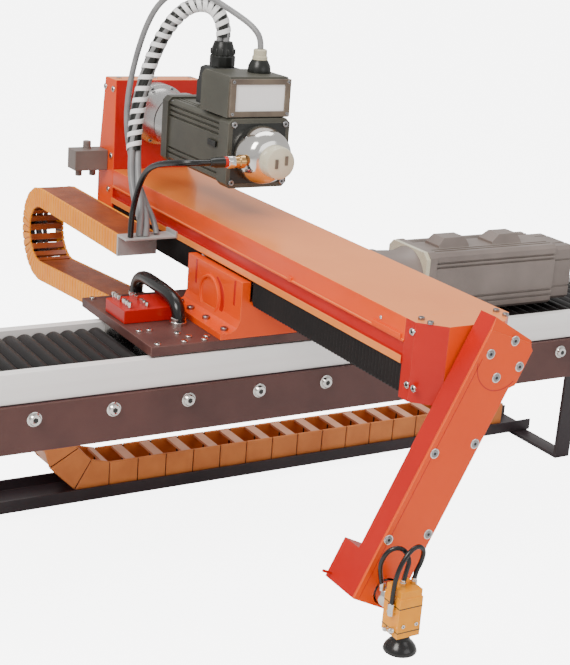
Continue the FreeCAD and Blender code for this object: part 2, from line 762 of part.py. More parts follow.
def chain_arm_bracket():
    """Angle that joins the short chain's moving end to the arm."""
    top = S.y_chain_level + 2 * S.y_chain_radius + S.y_chain_height / 2
    y = S.y_tow_at
    left, right = S.y_chain_left, S.arm_left - 2.4
    foot = box((left, right + 0.4), (y - 30, y), (top - 3, top))
    face = box((left, left + S.y_chain_width), (y - 4, y), (top - S.y_chain_height, top - 3))
    return fuse(foot, face, box((right - 3, right + 0.4), (y - 30, y), (top, top + 6)))


def drive_belt():
    """Toothed belt of the swing drive, around the motor pulley and the shaft pulley."""
    y = S.arm_rear + 20
    small, large = belt_radii()
    return solid(belt_shape(S.motor_x.value, S.motor_z.value, small, S.pivot_x.value, S.pivot_z.value, large,
                            y.value, 16, 2.5))


def belt_radii():
    """Inner radii of the belt on the motor pulley and on the shaft pulley."""
    return 14.3, 21.3


def belt_shape(x1, z1, r1, x2, z2, r2, y, wide, thick):
    """A belt around two pulleys whose axes run along Y."""
    def loop(extra):
        a, b = r1 + extra, r2 + extra
        dx, dz = x2 - x1, z2 - z1
        reach = math.hypot(dx, dz)
        lean = math.atan2(dz, dx)
        open_angle = math.acos((a - b) / reach)
        spots = []
        for side in (1, -1):
            angle = lean + side * open_angle
            spots.append([(x1 + a * math.cos(angle), z1 + a * math.sin(angle)),
                          (x2 + b * math.cos(angle), z2 + b * math.sin(angle))])
        back = (x1 - a * math.cos(lean), z1 - a * math.sin(lean))
        nose = (x2 + b * math.cos(lean), z2 + b * math.sin(lean))
        point = lambda p: Vector(p[0], y, p[1])
        (up1, up2), (down1, down2) = spots
        edges = [Part.LineSegment(point(up1), point(up2)).toShape(),
                 Part.Arc(point(up2), point(nose), point(down2)).toShape(),
                 Part.LineSegment(point(down2), point(down1)).toShape(),
                 Part.Arc(point(down1), point(back), point(up1)).toShape()]
        return Part.Face(Part.Wire(edges)).extrude(Vector(0, wide, 0))
    return loop(thick).cut(loop(0))


def motor_pulley():
    centre = (S.motor_x, S.motor_z)
    y = S.arm_rear
    return fuse(rod("Y", centre, (y - 40, y + 18), S.shaft_radius), rod("Y", centre, (y + 18, y + 38), 14))


# ---------------------------------------------------------------- swinging lower arm
def swing_shaft():
    """Long shaft through the arm, with the belt pulley behind and the bolted flange in front."""
    centre = (S.pivot_x, S.pivot_z)
    rear = S.arm_rear
    face = S.lower_front + S.skin
    return fuse(rod("Y", centre, (face, rear + 18), S.swing_shaft_radius), rod("Y", centre, (face, face + 5), 24),
                rod("Y", centre, (rear + 18, rear + 38), 21))


def lower_arm_housing():
    """Tapered tray of the lower arm, open to the front, with a deeper box at the wrist."""
    left, right = S.lower_left, S.lower_right
    front, back = S.lower_front + S.skin, S.lower_back
    skin = S.skin
    tail = -S.lower_tail
    outline = [(left, 34), (right, 30), (S.head_right, 22), (S.head_right, -22), (right, -28), (right, tail),
               (left, tail)]
    shell = prism("XZ", outline, (front, back))
    inside = [(left + skin, 34 - skin), (right - skin, 30 - skin), (S.head_right - skin, 22),
              (S.head_right - skin, -22), (right - skin, -28), (right - skin, tail + skin),
              (left + skin, tail + skin)]
    hollow = prism("XZ", inside, (front - 1, back - skin))
    wrist = box((left, right - 12), (back, back + S.wrist_box), (tail, tail + 46))
    bore = rod("Y", (0, -S.lower_reach), (front - 1, back + 11), 9 + S.fit)
    pin = rod("X", (back + 20, tail + 6), (left - 12, left), 1.6)
    pulley_hole = rod("Y", (0, 0), (back - 5, back + 1), 14)
    return swung(cut(fuse(cut(shell, hollow), wrist, pin), bore, pulley_hole))


def lower_arm_cover():
    """Front plate of the lower arm, its head cut on a slant."""
    left, right = S.lower_left, S.lower_right
    front, back = S.lower_front, S.lower_front + S.skin
    outline = [(left, 20), (S.head_right - 9, 27), (S.head_right, 21), (S.head_right, -20), (right, -24),
               (right, -S.lower_tail), (left, -S.lower_tail)]
    plate = prism("XZ", outline, (front, back - 0.2))
    return swung(cut(plate, rod("Y", (0, -S.lower_reach), (front - 1, back + 1), 15)))


def cover_screws():
    """Countersunk screws with bright washers, proud of the cover by a millimetre."""
    front = S.lower_front
    ring = [(0, 21.5), (22, 0), (0, -21), (-22, -2)]
    rows = [(-28, -118), (16, -92), (-30, -218), (16, -198)]
    return swung(group(*[rod("Y", (x, z), (front - 1.2, front), 4.6) for x, z in ring + rows]))


def wrist_belt():
    """Belt inside the lower arm that keeps the gripper upright."""
    radius = 12.2
    shape = belt_shape(0, 0, radius, 0, -S.lower_reach.value, radius, S.lower_front.value + 10, 9, 2)
    return swung(solid(shape))


def wrist_hub():
    """Wrist shaft with its pulley and the round flange that carries the gripper."""
    reach = -S.lower_reach
    front, back = S.lower_front, S.lower_back
    return swung(fuse(rod("Y", (0, reach), (front - 6, back + 8), 9),
                      rod("Y", (0, reach), (front + 6, front + 19), 12),
                      rod("Y", (0, reach), (front - 16, front - 1), 14)))


def wrist_point():
    """Wrist axis in the main frame, as (x, z)."""
    angle = math.radians(S.swing.value)
    reach = S.lower_reach.value
    return S.pivot_x.value - reach * math.sin(angle), S.pivot_z.value - reach * math.cos(angle)


def gripper_block():
    x, z = wrist_point()
    y = S.lower_front - 16
    return fuse(box((x - 13, x + 15), (y - 28, y), (z - 30, z + 22)),
                rod("Z", (x + 3, y - 14), (z - 32, z - 30), 6))


def suction_cup():
    """Vacuum cup: a shallow bell, open below."""
    x, z = wrist_point()
    y = S.lower_front - 30
    centre = (x + 3, y)
    bell = fuse(rod("Z", centre, (z - 52, z - 44), 18, 14), rod("Z", centre, (z - 44, z - 32), 10, 8))
    return cut(bell, rod("Z", centre, (z - 53, z - 46), 16, 9), rod("Z", centre, (z - 50, z - 31), 2.5))


# ---------------------------------------------------------------- cables and hoses
def cord(name, points, diameter):
    """Round cable along straight runs joined by the largest tangent arcs that the runs allow."""
    spots = [Vector(*p) for p in points]
    runs = [(b - a).Length for a, b in zip(spots, spots[1:])]
    edges = []
    start = spots[0]
    radii = []
    length = 0
    for i in range(1, len(spots) - 1):
        back = (spots[i - 1] - spots[i]).normalize()
        ahead = (spots[i + 1] - spots[i]).normalize()
        turn = math.pi - back.getAngle(ahead)
        reach = 0.45 * min(runs[i - 1], runs[i])
        radius = reach / math.tan(turn / 2)
        radii.append(radius)
        first, last = spots[i] + back * reach, spots[i] + ahead * reach
        middle = (back + ahead).normalize() * (radius / math.cos(turn / 2) - radius) + spots[i]
        edges.append(Part.LineSegment(start, first).toShape())
        edges.append(Part.Arc(first, middle, last).toShape())
        length += (first - start).Length + radius * turn
        start = last
    edges.append(Part.LineSegment(start, spots[-1]).toShape())
    length += (spots[-1] - start).Length
    path = Part.Wire(edges)
    ring = Part.Wire(Part.makeCircle(diameter / 2, spots[0], spots[1] - spots[0]))
    tube = path.makePipeShell([ring], True, False)
    filled = tube.Volume / (math.pi * diameter ** 2 / 4 * length)
    print(f"{name}: length {length:.0f}, volume ratio {filled:.3f}, radii", [round(r) for r in radii])
    return solid(tube)


WRAPPED_CABLE = [(-69, 140, 450.6), (-69, 140, 474), (-80, 156, 496), (-104, 174, 494), (-127, 188, 466),
                 (-146, 196, 422), (-160, 197, 370), (-170, 191, 320), (-176, 174, 272), (-178, 150, 236),
                 (-178, 134, 214), (-178, 134, 193)]
ENCODER_CABLE = [(-153, 0, 317.5), (-171, 0, 317.5), (-187, 12, 316), (-195, 36, 311), (-197, 64, 303),
                 (-196, 92, 290), (-195, 112, 269), (-196, 123, 244), (-198, 128, 218), (-198, 128, 193)]
SIGNAL_CABLE = [(-47, 78, 448.6), (-47, 78, 462), (-54, 90, 476), (-64, 106, 486), (-78, 130, 498),
                (-92, 156, 510), (-110, 182, 514), (-130, 204, 498), (-144, 217, 468), (-157, 223, 420),
                (-167, 222, 370), (-172, 213, 322), (-168, 193, 270), (-160, 162, 226), (-157, 141, 208),
                (-157, 134, 193.8)]
CARRIAGE_CABLE = [(-179, 144, 103.1), (-179, 144, 119), (-181, 131, 134), (-184, 107, 142), (-187, 78, 144),
                  (-189, 48, 144.5), (-190, 22, 144), (-190, 1, 139.5), (-190, -11, 127), (-190, -11, 112.2)]


def hose_routes():
    """Two loops, from the wrist flange and from the gripper's side to the top of the gripper block."""
    x, z = wrist_point()
    back = S.lower_front.value - 9
    top = S.lower_front.value - 30
    left = [(-12, back, 13), (-17, back - 1, 28), (-20, back - 4, 45), (-14, back - 9, 60), (-2, back - 15, 62),
            (4, top, 50), (0, top, 36), (-2, top, 22.3)]
    right = [(-16.5, top - 4, 2), (-17, top - 5, 22), (-15, top - 6, 42), (-6, top - 6, 60), (7, top - 5, 68),
             (18, top - 3, 61), (19, top, 46), (12, top, 34), (11.5, top, 22.3)]
    return [[(x + a, y, z + b) for a, y, b in loop] for loop in (left, right)]


# ---------------------------------------------------------------- the assembly
node("beam_profile", beam_profile())
node("guideways", guideways())
node("front_plate", front_plate())
node("plate_screws", plate_screws())
node("x_guide_rails", x_guide_rails())
node("x_rack", x_rack())
node("end_plates", end_plates())
node("chain_tray", chain_tray())
node("x_bellows_left", x_bellows(-inner_end.value, S.plate_left.value))
node("x_bellows_right", x_bellows(S.plate_right.value, inner_end.value))
for name, item in zip(("x_chain_lower_run", "x_chain_bend", "x_chain_upper_run"), x_chain()):
    node(name, item)
node("x_guide_blocks", x_guide_blocks())
node("carriage_plate", carriage_plate())
node("chain_tow_bracket", chain_tow_bracket())
node("saddle", saddle())
node("pinion_bearings", pinion_bearings())
node("y_guide_blocks", y_guide_blocks())
node("x_gearmotor", x_gearmotor())
node("x_pinion", x_pinion())
node("y_pinion", y_pinion())
node("y_gearbox", y_gearbox())
node("y_motor", y_motor())
node("cable_block", cable_block())
for name, item in zip(("y_chain_lower_run", "y_chain_bend", "y_chain_upper_run"), y_chain()):
    node(name, item)
node("arm_housing", arm_housing())
node("arm_cover", arm_cover())
node("y_rails", y_rails())
node("y_rack", y_rack())
node("front_block", front_block())
node("shaft_bearings", shaft_bearings())
node("rear_housing", rear_housing())
node("motor_adaptor", motor_adaptor())
node("swing_motor", swing_motor())
node("terminal_box", terminal_box())
node("motor_connectors", motor_connectors())
node("encoder_cap", encoder_cap())
node("pneumatic_valve", pneumatic_valve())
node("chain_arm_bracket", chain_arm_bracket())
node("y_bellows_front", y_bellows(S.arm_front.value, S.saddle_front.value))
node("y_bellows_rear", y_bellows(S.saddle_rear.value, S.arm_rear.value))
node("drive_belt", drive_belt())
node("motor_pulley", motor_pulley())
node("swing_shaft", swing_shaft())
node("lower_arm_housing", lower_arm_housing())
node("lower_arm_cover", lower_arm_cover())
node("cover_screws", cover_screws())
node("wrist_belt", wrist_belt())
node("wrist_hub", wrist_hub())
node("gripper_block", gripper_block())
node("suction_cup", suction_cup())
node("wrapped_cable", cord("wrapped_cable", WRAPPED_CABLE, 20))
node("encoder_cable", cord("encoder_cable", ENCODER_CABLE, 8))
node("signal_cable", cord("signal_cable", SIGNAL_CABLE, 8))
node("carriage_cable", cord("carriage_cable", CARRIAGE_CABLE, 18))
for name, route in zip(("gripper_hose_left", "gripper_hose_right"), hose_routes()):
    node(name, cord(name, route, 5))

doc.recompute()
for item in doc.Objects:
    if "Invalid" in item.State or "Error" in item.State:
        raise SystemExit(f"{item.Label}: {item.State}")
os.makedirs("parts", exist_ok=True)
for item in PARTS:
    shape = item.Shape
    if shape.isNull() or not shape.isValid() or not shape.Solids:
        raise SystemExit(f"{item.Label} has no valid solid")
    shape.exportStep(f"parts/{item.Label}.step")
print(len(PARTS), "parts")
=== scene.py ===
"""Looks of the two-axis rack and pinion unit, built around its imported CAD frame.

Helper functions take millimetres; every object is made in metres in the frame of the CAD model.
"""
import math
import bmesh
import bpy
from mathutils import Matrix, Vector


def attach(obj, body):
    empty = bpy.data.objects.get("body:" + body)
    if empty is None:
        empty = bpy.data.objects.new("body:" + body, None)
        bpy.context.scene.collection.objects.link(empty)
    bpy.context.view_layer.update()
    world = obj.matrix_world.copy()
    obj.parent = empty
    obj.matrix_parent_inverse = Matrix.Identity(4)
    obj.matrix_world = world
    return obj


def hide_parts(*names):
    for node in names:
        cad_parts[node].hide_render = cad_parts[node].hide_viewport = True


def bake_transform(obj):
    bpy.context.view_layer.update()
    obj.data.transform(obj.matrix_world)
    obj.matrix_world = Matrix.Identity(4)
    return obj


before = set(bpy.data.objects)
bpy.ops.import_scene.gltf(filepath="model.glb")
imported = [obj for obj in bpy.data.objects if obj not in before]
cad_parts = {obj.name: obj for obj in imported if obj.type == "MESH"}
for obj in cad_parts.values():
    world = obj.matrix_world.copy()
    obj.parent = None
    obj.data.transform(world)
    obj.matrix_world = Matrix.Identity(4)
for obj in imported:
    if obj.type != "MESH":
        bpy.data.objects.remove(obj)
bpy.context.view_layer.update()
MM = 0.001
SCENE = bpy.context.scene.collection

# ---------------------------------------------------------------- camera, light and floor
YAW, PITCH, ROLL = math.radians(31.51), math.radians(17.61), math.radians(4.44)
ahead = Vector((math.sin(YAW) * math.cos(PITCH), math.cos(YAW) * math.cos(PITCH), -math.sin(PITCH)))
level_right = Vector((math.cos(YAW), -math.sin(YAW), 0))
right = level_right * math.cos(ROLL) + level_right.cross(ahead) * math.sin(ROLL)
upward = right.cross(ahead)
camera = bpy.data.objects.new("camera", bpy.data.cameras.new("camera"))
camera.data.lens = 75.6
camera.matrix_world = Matrix.Translation((-0.9592, -1.5255, 0.6501)) @ Matrix(
    (right, upward, -ahead)).transposed().to_4x4()
SCENE.objects.link(camera)
bpy.context.scene.camera = camera

world = bpy.data.worlds.new("studio")
world.use_nodes = True
world.node_tree.nodes["Background"].inputs["Color"].default_value = (1.0, 0.99, 0.975, 1)
world.node_tree.nodes["Background"].inputs["Strength"].default_value = 0.75
bpy.context.scene.world = world


def lamp(name, spot, target, size, power, colour=(1, 1, 1)):
    data = bpy.data.lights.new(name, "AREA")
    data.shape = "RECTANGLE"
    data.size, data.size_y = size
    data.energy = power
    data.color = colour
    item = bpy.data.objects.new(name, data)
    item.location = spot
    item.rotation_euler = (Vector(target) - Vector(spot)).to_track_quat("-Z", "Y").to_euler()
    SCENE.objects.link(item)


lamp("key", (-1.9, -0.9, 2.0), (-0.05, -0.1, 0.15), (1.2, 1.2), 62, (1, 0.97, 0.93))
lamp("overhead", (0.3, 0.6, 2.4), (0.0, 0.0, 0.1), (2.0, 1.2), 34)
lamp("front_fill", (0.6, -2.4, 0.9), (0.0, 0.0, 0.05), (1.6, 1.0), 9)


# ---------------------------------------------------------------- materials
def surface(name, light, dark, rough=(0.3, 0.45), metal=0.0, patch=7.0, grain=500.0, bump=0.05,
            stretch=(1, 1, 1), coat=0.0, wear=None, sheen=0.0, detail=3.0, gloss=0.5):
    """Principled material: patchy colour between two tones, fine grain in roughness and bump, worn edges."""
    material = bpy.data.materials.new(name)
    material.use_nodes = True
    nodes, links = material.node_tree.nodes, material.node_tree.links
    shader = nodes["Principled BSDF"]
    shader.inputs["Metallic"].default_value = metal
    shader.inputs["Coat Weight"].default_value = coat
    shader.inputs["Specular IOR Level"].default_value = gloss
    shader.inputs["Coat Roughness"].default_value = 0.08
    shader.inputs["Sheen Weight"].default_value = sheen
    shader.inputs["Sheen Roughness"].default_value = 0.4
    place = nodes.new("ShaderNodeTexCoord")
    scaled = nodes.new("ShaderNodeMapping")
    scaled.inputs["Scale"].default_value = stretch
    links.new(place.outputs["Object"], scaled.inputs["Vector"])

    def noise(scale, octaves):
        item = nodes.new("ShaderNodeTexNoise")
        item.inputs["Scale"].default_value = scale
        item.inputs["Detail"].default_value = octaves
        links.new(scaled.outputs["Vector"], item.inputs["Vector"])
        return item.outputs["Fac"]

    ramp = nodes.new("ShaderNodeValToRGB")
    ramp.color_ramp.elements[0].position, ramp.color_ramp.elements[1].position = 0.35, 0.65
    ramp.color_ramp.elements[0].color = (*dark, 1)
    ramp.color_ramp.elements[1].color = (*light, 1)
    links.new(noise(patch, 5.0), ramp.inputs["Fac"])
    colour = ramp.outputs["Color"]
    fine = noise(grain, detail)
    span = nodes.new("ShaderNodeMapRange")
    span.inputs["To Min"].default_value, span.inputs["To Max"].default_value = rough
    links.new(fine, span.inputs["Value"])
    links.new(span.outputs["Result"], shader.inputs["Roughness"])
    relief = nodes.new("ShaderNodeBump")
    relief.inputs["Strength"].default_value = bump
    relief.inputs["Distance"].default_value = 0.001
    links.new(fine, relief.inputs["Height"])
    links.new(relief.outputs["Normal"], shader.inputs["Normal"])
    if wear:
        edge = nodes.new("ShaderNodeBevel")
        edge.samples = 4
        edge.inputs["Radius"].default_value = 0.0012
        flat = nodes.new("ShaderNodeNewGeometry")
        match = nodes.new("ShaderNodeVectorMath")
        match.operation = "DOT_PRODUCT"
        links.new(edge.outputs["Normal"], match.inputs[0])
        links.new(flat.outputs["Normal"], match.inputs[1])
        rubbed = nodes.new("ShaderNodeMapRange")
        rubbed.inputs["From Min"].default_value, rubbed.inputs["From Max"].default_value = 0.985, 0.9
        links.new(match.outputs["Value"], rubbed.inputs["Value"])
        uneven = nodes.new("ShaderNodeMath")
        uneven.operation = "MULTIPLY"
        links.new(rubbed.outputs["Result"], uneven.inputs[0])
        links.new(noise(60.0, 4.0), uneven.inputs[1])
        mix = nodes.new("ShaderNodeMix")
        mix.data_type = "RGBA"
        links.new(uneven.outputs["Value"], mix.inputs["Factor"])
        links.new(colour, mix.inputs["A"])
        mix.inputs["B"].default_value = (*wear, 1)
        colour = mix.outputs["Result"]
    links.new(colour, shader.inputs["Base Color"])
    return material


ORANGE = surface("orange_gloss", (0.90, 0.080, 0.0), (0.82, 0.064, 0.0), (0.26, 0.34), grain=900, bump=0.02,
                 coat=0.06, wear=(0.85, 0.28, 0.10), gloss=0.3)
# painted highlight: a paler copy of the orange paint, put on faces the light falls on, mostly top faces
PAINTED_HIGHLIGHT_ORANGE = surface("orange_lit", (0.93, 0.27, 0.045), (0.85, 0.22, 0.03), (0.25, 0.36), grain=900, bump=0.02,
                coat=0.2, wear=(0.85, 0.40, 0.20), gloss=0.4)
# red paint; also used as painted shade on orange faces turned away from the light
RED_AND_PAINTED_SHADE = surface("red_gloss_and_painted_shade", (0.56, 0.010, 0.004), (0.48, 0.007, 0.003), (0.27, 0.36), grain=900, bump=0.02,
              coat=0.06, wear=(0.55, 0.08, 0.05), gloss=0.3)
BROWN = surface("brown_paint", (0.095, 0.033, 0.027), (0.068, 0.022, 0.018), (0.4, 0.55), patch=14, grain=700,
                bump=0.06, wear=(0.22, 0.12, 0.10))
PLATE = surface("carriage_paint", (0.11, 0.040, 0.032), (0.07, 0.022, 0.018), (0.38, 0.55), patch=22, grain=600,
                bump=0.06, wear=(0.30, 0.16, 0.13))
STRIP = surface("ground_way", (1.0, 0.98, 0.96), (0.92, 0.88, 0.86), (0.3, 0.45), 0.15, patch=9, grain=260,
                bump=0.06, stretch=(0.06, 1, 6))
STEEL = surface("machined_steel", (0.36, 0.36, 0.37), (0.26, 0.26, 0.27), (0.28, 0.42), 1.0, patch=18, grain=420,
                bump=0.06)
CHROME = surface("bright_steel", (0.78, 0.76, 0.73), (0.66, 0.64, 0.61), (0.08, 0.18), 1.0, patch=16, grain=300,
                 bump=0.015)
ALU = surface("turned_aluminium", (0.64, 0.63, 0.62), (0.52, 0.51, 0.50), (0.2, 0.34), 1.0, patch=12, grain=500,
              bump=0.04)
GREY = surface("beam_paint", (0.035, 0.022, 0.026), (0.022, 0.014, 0.017), (0.35, 0.5), patch=12, grain=600,
               bump=0.07, wear=(0.12, 0.09, 0.09))
OLIVE = surface("motor_olive", (0.075, 0.072, 0.055), (0.052, 0.050, 0.038), (0.35, 0.5), patch=12, grain=900,
                bump=0.08, wear=(0.20, 0.19, 0.15))
BROWNGREY = surface("motor_browngrey", (0.23, 0.188, 0.168), (0.17, 0.138, 0.124), (0.35, 0.5), patch=12,
                    grain=900, bump=0.08, wear=(0.26, 0.24, 0.20))
BLACK = surface("black_plastic", (0.012, 0.013, 0.011), (0.006, 0.007, 0.006), (0.25, 0.42), patch=20, grain=900,
                bump=0.06, wear=(0.06, 0.06, 0.055))
CLOTH = surface("bellows_cloth", (0.011, 0.007, 0.0065), (0.006, 0.004, 0.004), (0.5, 0.68), patch=12, grain=1400,
                bump=0.22, sheen=0.04, detail=6, gloss=0.3)
ROOF = surface("roof_cloth", (0.009, 0.006, 0.006), (0.005, 0.004, 0.004), (0.38, 0.54), patch=10, grain=1200,
               bump=0.15, sheen=0.03, detail=6, gloss=0.25)
SIDE = surface("chain_yellow", (0.98, 0.34, 0.004), (0.90, 0.27, 0.002), (0.3, 0.45), patch=40, grain=800,
               bump=0.06, wear=(0.90, 0.42, 0.06), gloss=0.3)
LINK = surface("chain_rust", (0.36, 0.075, 0.014), (0.24, 0.045, 0.009), (0.35, 0.5), patch=40, grain=800,
               bump=0.07, wear=(0.45, 0.20, 0.10))
LONG = surface("chain_amber", (0.86, 0.26, 0.060), (0.72, 0.20, 0.045), (0.35, 0.5), patch=25, grain=800,
               bump=0.07, wear=(0.55, 0.27, 0.13))
PALE = surface("chain_bar", (0.80, 0.38, 0.22), (0.66, 0.28, 0.15), (0.35, 0.5), patch=25, grain=800, bump=0.05)
SHEET = surface("plated_sheet", (0.52, 0.52, 0.51), (0.42, 0.42, 0.41), (0.35, 0.5), 0.2, patch=20, grain=600,
                bump=0.04, wear=(0.75, 0.74, 0.72))
BRONZE = surface("bronze_frame", (0.20, 0.16, 0.12), (0.13, 0.10, 0.08), (0.25, 0.4), 0.5, patch=30, grain=700,
                 bump=0.05, wear=(0.35, 0.30, 0.24))
BRASS = surface("brass", (0.62, 0.38, 0.16), (0.50, 0.28, 0.10), (0.15, 0.28), 1.0, patch=30, grain=500, bump=0.03)
WHITE = surface("white_plate", (0.97, 0.97, 0.97), (0.93, 0.93, 0.93), (0.3, 0.42), patch=10, grain=900, bump=0.02)
IVORY = surface("ivory_plastic", (0.66, 0.62, 0.47), (0.58, 0.53, 0.38), (0.2, 0.34), patch=14, grain=800,
                bump=0.03, coat=0.2)
YELLOW = surface("yellow_gloss", (0.96, 0.36, 0.002), (0.88, 0.29, 0.001), (0.25, 0.38), patch=20, grain=900,
                 bump=0.03, coat=0.06, wear=(0.90, 0.46, 0.05), gloss=0.3)
RUBBER = surface("glossy_rubber", (0.010, 0.009, 0.009), (0.005, 0.005, 0.005), (0.16, 0.3), patch=20, grain=900,
                 bump=0.05)
CABLE = surface("cable_grey", (0.28, 0.28, 0.28), (0.20, 0.20, 0.205), (0.28, 0.42), patch=30, grain=1100,
                bump=0.05)
BELT = surface("belt_rubber", (0.02, 0.02, 0.02), (0.012, 0.012, 0.012), (0.45, 0.6), patch=30, grain=900,
               bump=0.1)
FLOOR = surface("floor_paper", (0.86, 0.86, 0.86), (0.85, 0.85, 0.85), (0.7, 0.8), patch=3, grain=60, bump=0.01)

ground = bpy.data.meshes.new("floor")
FLOOR_LEVEL, FLOOR_REACH = -0.2205, 60
ground.from_pydata([(a * FLOOR_REACH, b * FLOOR_REACH, FLOOR_LEVEL)
                    for a, b in ((-1, -1), (1, -1), (1, 1), (-1, 1))], [], [(0, 1, 2, 3)])
floor = bpy.data.objects.new("floor", ground)
floor.data.materials.append(FLOOR)
SCENE.objects.link(floor)
glow = FLOOR.node_tree.nodes["Principled BSDF"]
glow.inputs["Emission Color"].default_value = (1, 1, 1, 1)
glow.inputs["Emission Strength"].default_value = 6.0
paper_only = bpy.data.collections.new("floor_glow")  # the floor's own glow doesn't light the machine
paper_only.objects.link(floor)
floor.light_linking.receiver_collection = paper_only


# ---------------------------------------------------------------- mesh building
TURNS = {"X": lambda a, b, c: (a, b, c), "Y": lambda a, b, c: (b, a, c), "Z": lambda a, b, c: (b, c, a)}


class Build:
    """Collects closed shapes, each in its own material, and makes one piece of them."""

    def __init__(self, turn=None):
        self.mesh = bmesh.new()
        self.materials = []
        self.turn = turn or Matrix()
        self.index = 0

    def use(self, material):
        if material not in self.materials:
            self.materials.append(material)
        self.index = self.materials.index(material)
        return self

    def loft(self, rings, cap=True, around=False):
        """Closed rings of points joined one to the next; around joins the last to the first."""
        rows = [[self.mesh.verts.new(self.turn @ (Vector(p) * MM)) for p in ring] for ring in rings]
        count = len(rows[0])
        faces = []
        pairs = list(zip(rows, rows[1:])) + ([(rows[-1], rows[0])] if around else [])
        for low, high in pairs:
            for i in range(count):
                j = (i + 1) % count
                faces.append(self.mesh.faces.new((low[i], low[j], high[j], high[i])))
        if cap and not around:
            faces.append(self.mesh.faces.new(rows[0][::-1]))
            faces.append(self.mesh.faces.new(rows[-1]))
        for face in faces:
            face.material_index = self.index
        return self

    def box(self, x, y, z):
        return self.tiers((*x, *y, z[0]), (*x, *y, z[1]))

    def tiers(self, *levels):
        """A stack of rectangles (x0, x1, y0, y1, z) joined one to the next."""
        return self.loft([[(a, c, z), (b, c, z), (b, d, z), (a, d, z)] for a, b, c, d, z in levels])

    def prism(self, axis, outline, span):
        """An outline in the plane across the axis, extruded along it."""
        return self.loft([[TURNS[axis](h, a, b) for a, b in outline] for h in span])

    def turned(self, axis, centre, profile, sides=48, corners=0):
        """A profile of (position, radius) turned about an axis; corners makes it a many-sided nut."""
        rings = []
        for position, radius in profile:
            ring = []
            for k in range(sides):
                angle = 2 * math.pi * k / sides
                size = radius
                if corners:
                    part = 2 * math.pi / corners
                    size = radius / math.cos((angle + part / 2) % part - part / 2) * math.cos(part / 2)
                ring.append(TURNS[axis](position, centre[0] + size * math.cos(angle),
                                        centre[1] + size * math.sin(angle)))
            rings.append(ring)
        return self.loft(rings)

    def done(self, name, body, slot, bevel=0.0, replaces=(), smooth=32):
        bmesh.ops.recalc_face_normals(self.mesh, faces=self.mesh.faces)
        data = bpy.data.meshes.new(name)
        self.mesh.to_mesh(data)
        self.mesh.free()
        for material in self.materials:
            data.materials.append(material)
        return finished(data, name, body, bevel, replaces, smooth)


def finished(data, name, body, bevel=0.0, replaces=(), smooth=32):
    piece = bpy.data.objects.new(name, data)
    SCENE.objects.link(piece)
    data.shade_smooth()
    data.set_sharp_from_angle(angle=math.radians(smooth))
    if bevel:
        rounded = piece.modifiers.new("edges", "BEVEL")
        rounded.width = bevel * MM
        rounded.segments = 2
        rounded.limit_method = "ANGLE"
        rounded.angle_limit = math.radians(34)
        rounded.harden_normals = True
    if body:
        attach(piece, body)
    if replaces:
        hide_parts(*replaces)
    return piece


def dressed(node, body, material, bevel=0.8, extra=None):
    """A copy of a CAD node with rounded edges; extra(face) may name another material for a face."""
    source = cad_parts[node]
    work = bmesh.new()
    work.from_mesh(source.data)
    bmesh.ops.remove_doubles(work, verts=work.verts, dist=0.00002)
    bmesh.ops.dissolve_limit(work, angle_limit=math.radians(1.5), verts=work.verts, edges=work.edges)
    materials = [material]
    work.normal_update()
    for face in work.faces:
        face.material_index = 0
        other = extra(face) if extra else None
        if other:
            if other not in materials:
                materials.append(other)
            face.material_index = materials.index(other)
    data = bpy.data.meshes.new(f"{node}_look")
    work.to_mesh(data)
    work.free()
    for each in materials:
        data.materials.append(each)
    return finished(data, f"{node}_look", body, bevel, (node,))


def paint(node, material):
    """Gives a CAD node that stays its material."""
    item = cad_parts[node]
    item.data.materials.clear()
    item.data.materials.append(material)


def hexes(build, axis, centre, face, height, radius, way, head, socket_shade):
    """Socket head screws: a rounded head standing on a face, with a dark hexagon standing in for the socket as
    painted shade.
    """
    top = face + way * height
    build.use(head).turned(axis, centre, [
        (face, radius), (top - way * 0.18 * radius, radius), (top, radius * 0.86), (top, radius * 0.56),
        (top - way * 0.02 * radius, radius * 0.5)], 24)
    build.use(socket_shade).turned(axis, centre, [(top - way * 0.3 * radius, radius * 0.47),
                                          (top + way * 0.03, radius * 0.47)], 24, 6)


# ---------------------------------------------------------------- cords
def path_points(name, points):
    """The route's NURBS spline as an object."""
    data = bpy.data.curves.new(name, "CURVE")
    data.dimensions = "3D"
    data.resolution_u = 16
    spline = data.splines.new("NURBS")
    spline.points.add(len(points) - 1)
    for knot, spot in zip(spline.points, points):
        knot.co = (*[c * MM for c in spot], 1)
    spline.order_u = 3
    spline.use_endpoint_u = True
    item = bpy.data.objects.new(name, data)
    SCENE.objects.link(item)
    return item


def read_path(item):
    """The points that a route's spline passes."""
    mesh = bpy.data.meshes.new_from_object(item)
    spots = [v.co.copy() for v in mesh.vertices]
    bpy.data.meshes.remove(mesh)
    return spots


def cable(name, node, body, points, diameter, material, slot, **facts):
    """A round cable as a bevelled curve on the CAD route."""
    item = path_points(name, points)
    item.data.bevel_depth = diameter / 2 * MM
    item.data.bevel_resolution = 5
    item.data.use_fill_caps = True
    item.data.materials.append(material)
    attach(item, body)
    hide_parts(node)


def frames(spots):
    """Two cross directions at each point of a path that turn with it as little as they can."""
    side = None
    out = []
    for i, spot in enumerate(spots):
        along = (spots[min(i + 1, len(spots) - 1)] - spots[max(i - 1, 0)]).normalized()
        side = along.orthogonal().normalized() if side is None else (side - along * side.dot(along)).normalized()
        out.append((spot, side, along.cross(side)))
    return out


def tube(build, spots, offset, radius, twist, sides=12):
    """A round strand that winds round a path at an offset; twist is its first angle and its whole turn."""
    rings = []
    count = len(spots)
    for i, (spot, a, b) in enumerate(frames(spots)):
        angle = twist[0] + twist[1] * i / (count - 1)
        out = a * math.cos(angle) + b * math.sin(angle)
        round_way = b * math.cos(angle) - a * math.sin(angle)
        centre = spot + out * offset * MM
        ring = []
        for k in range(sides):
            turn = 2 * math.pi * k / sides
            ring.append((centre + (out * math.cos(turn) + round_way * math.sin(turn)) * radius * MM) / MM)
        rings.append(ring)
    build.loft(rings)


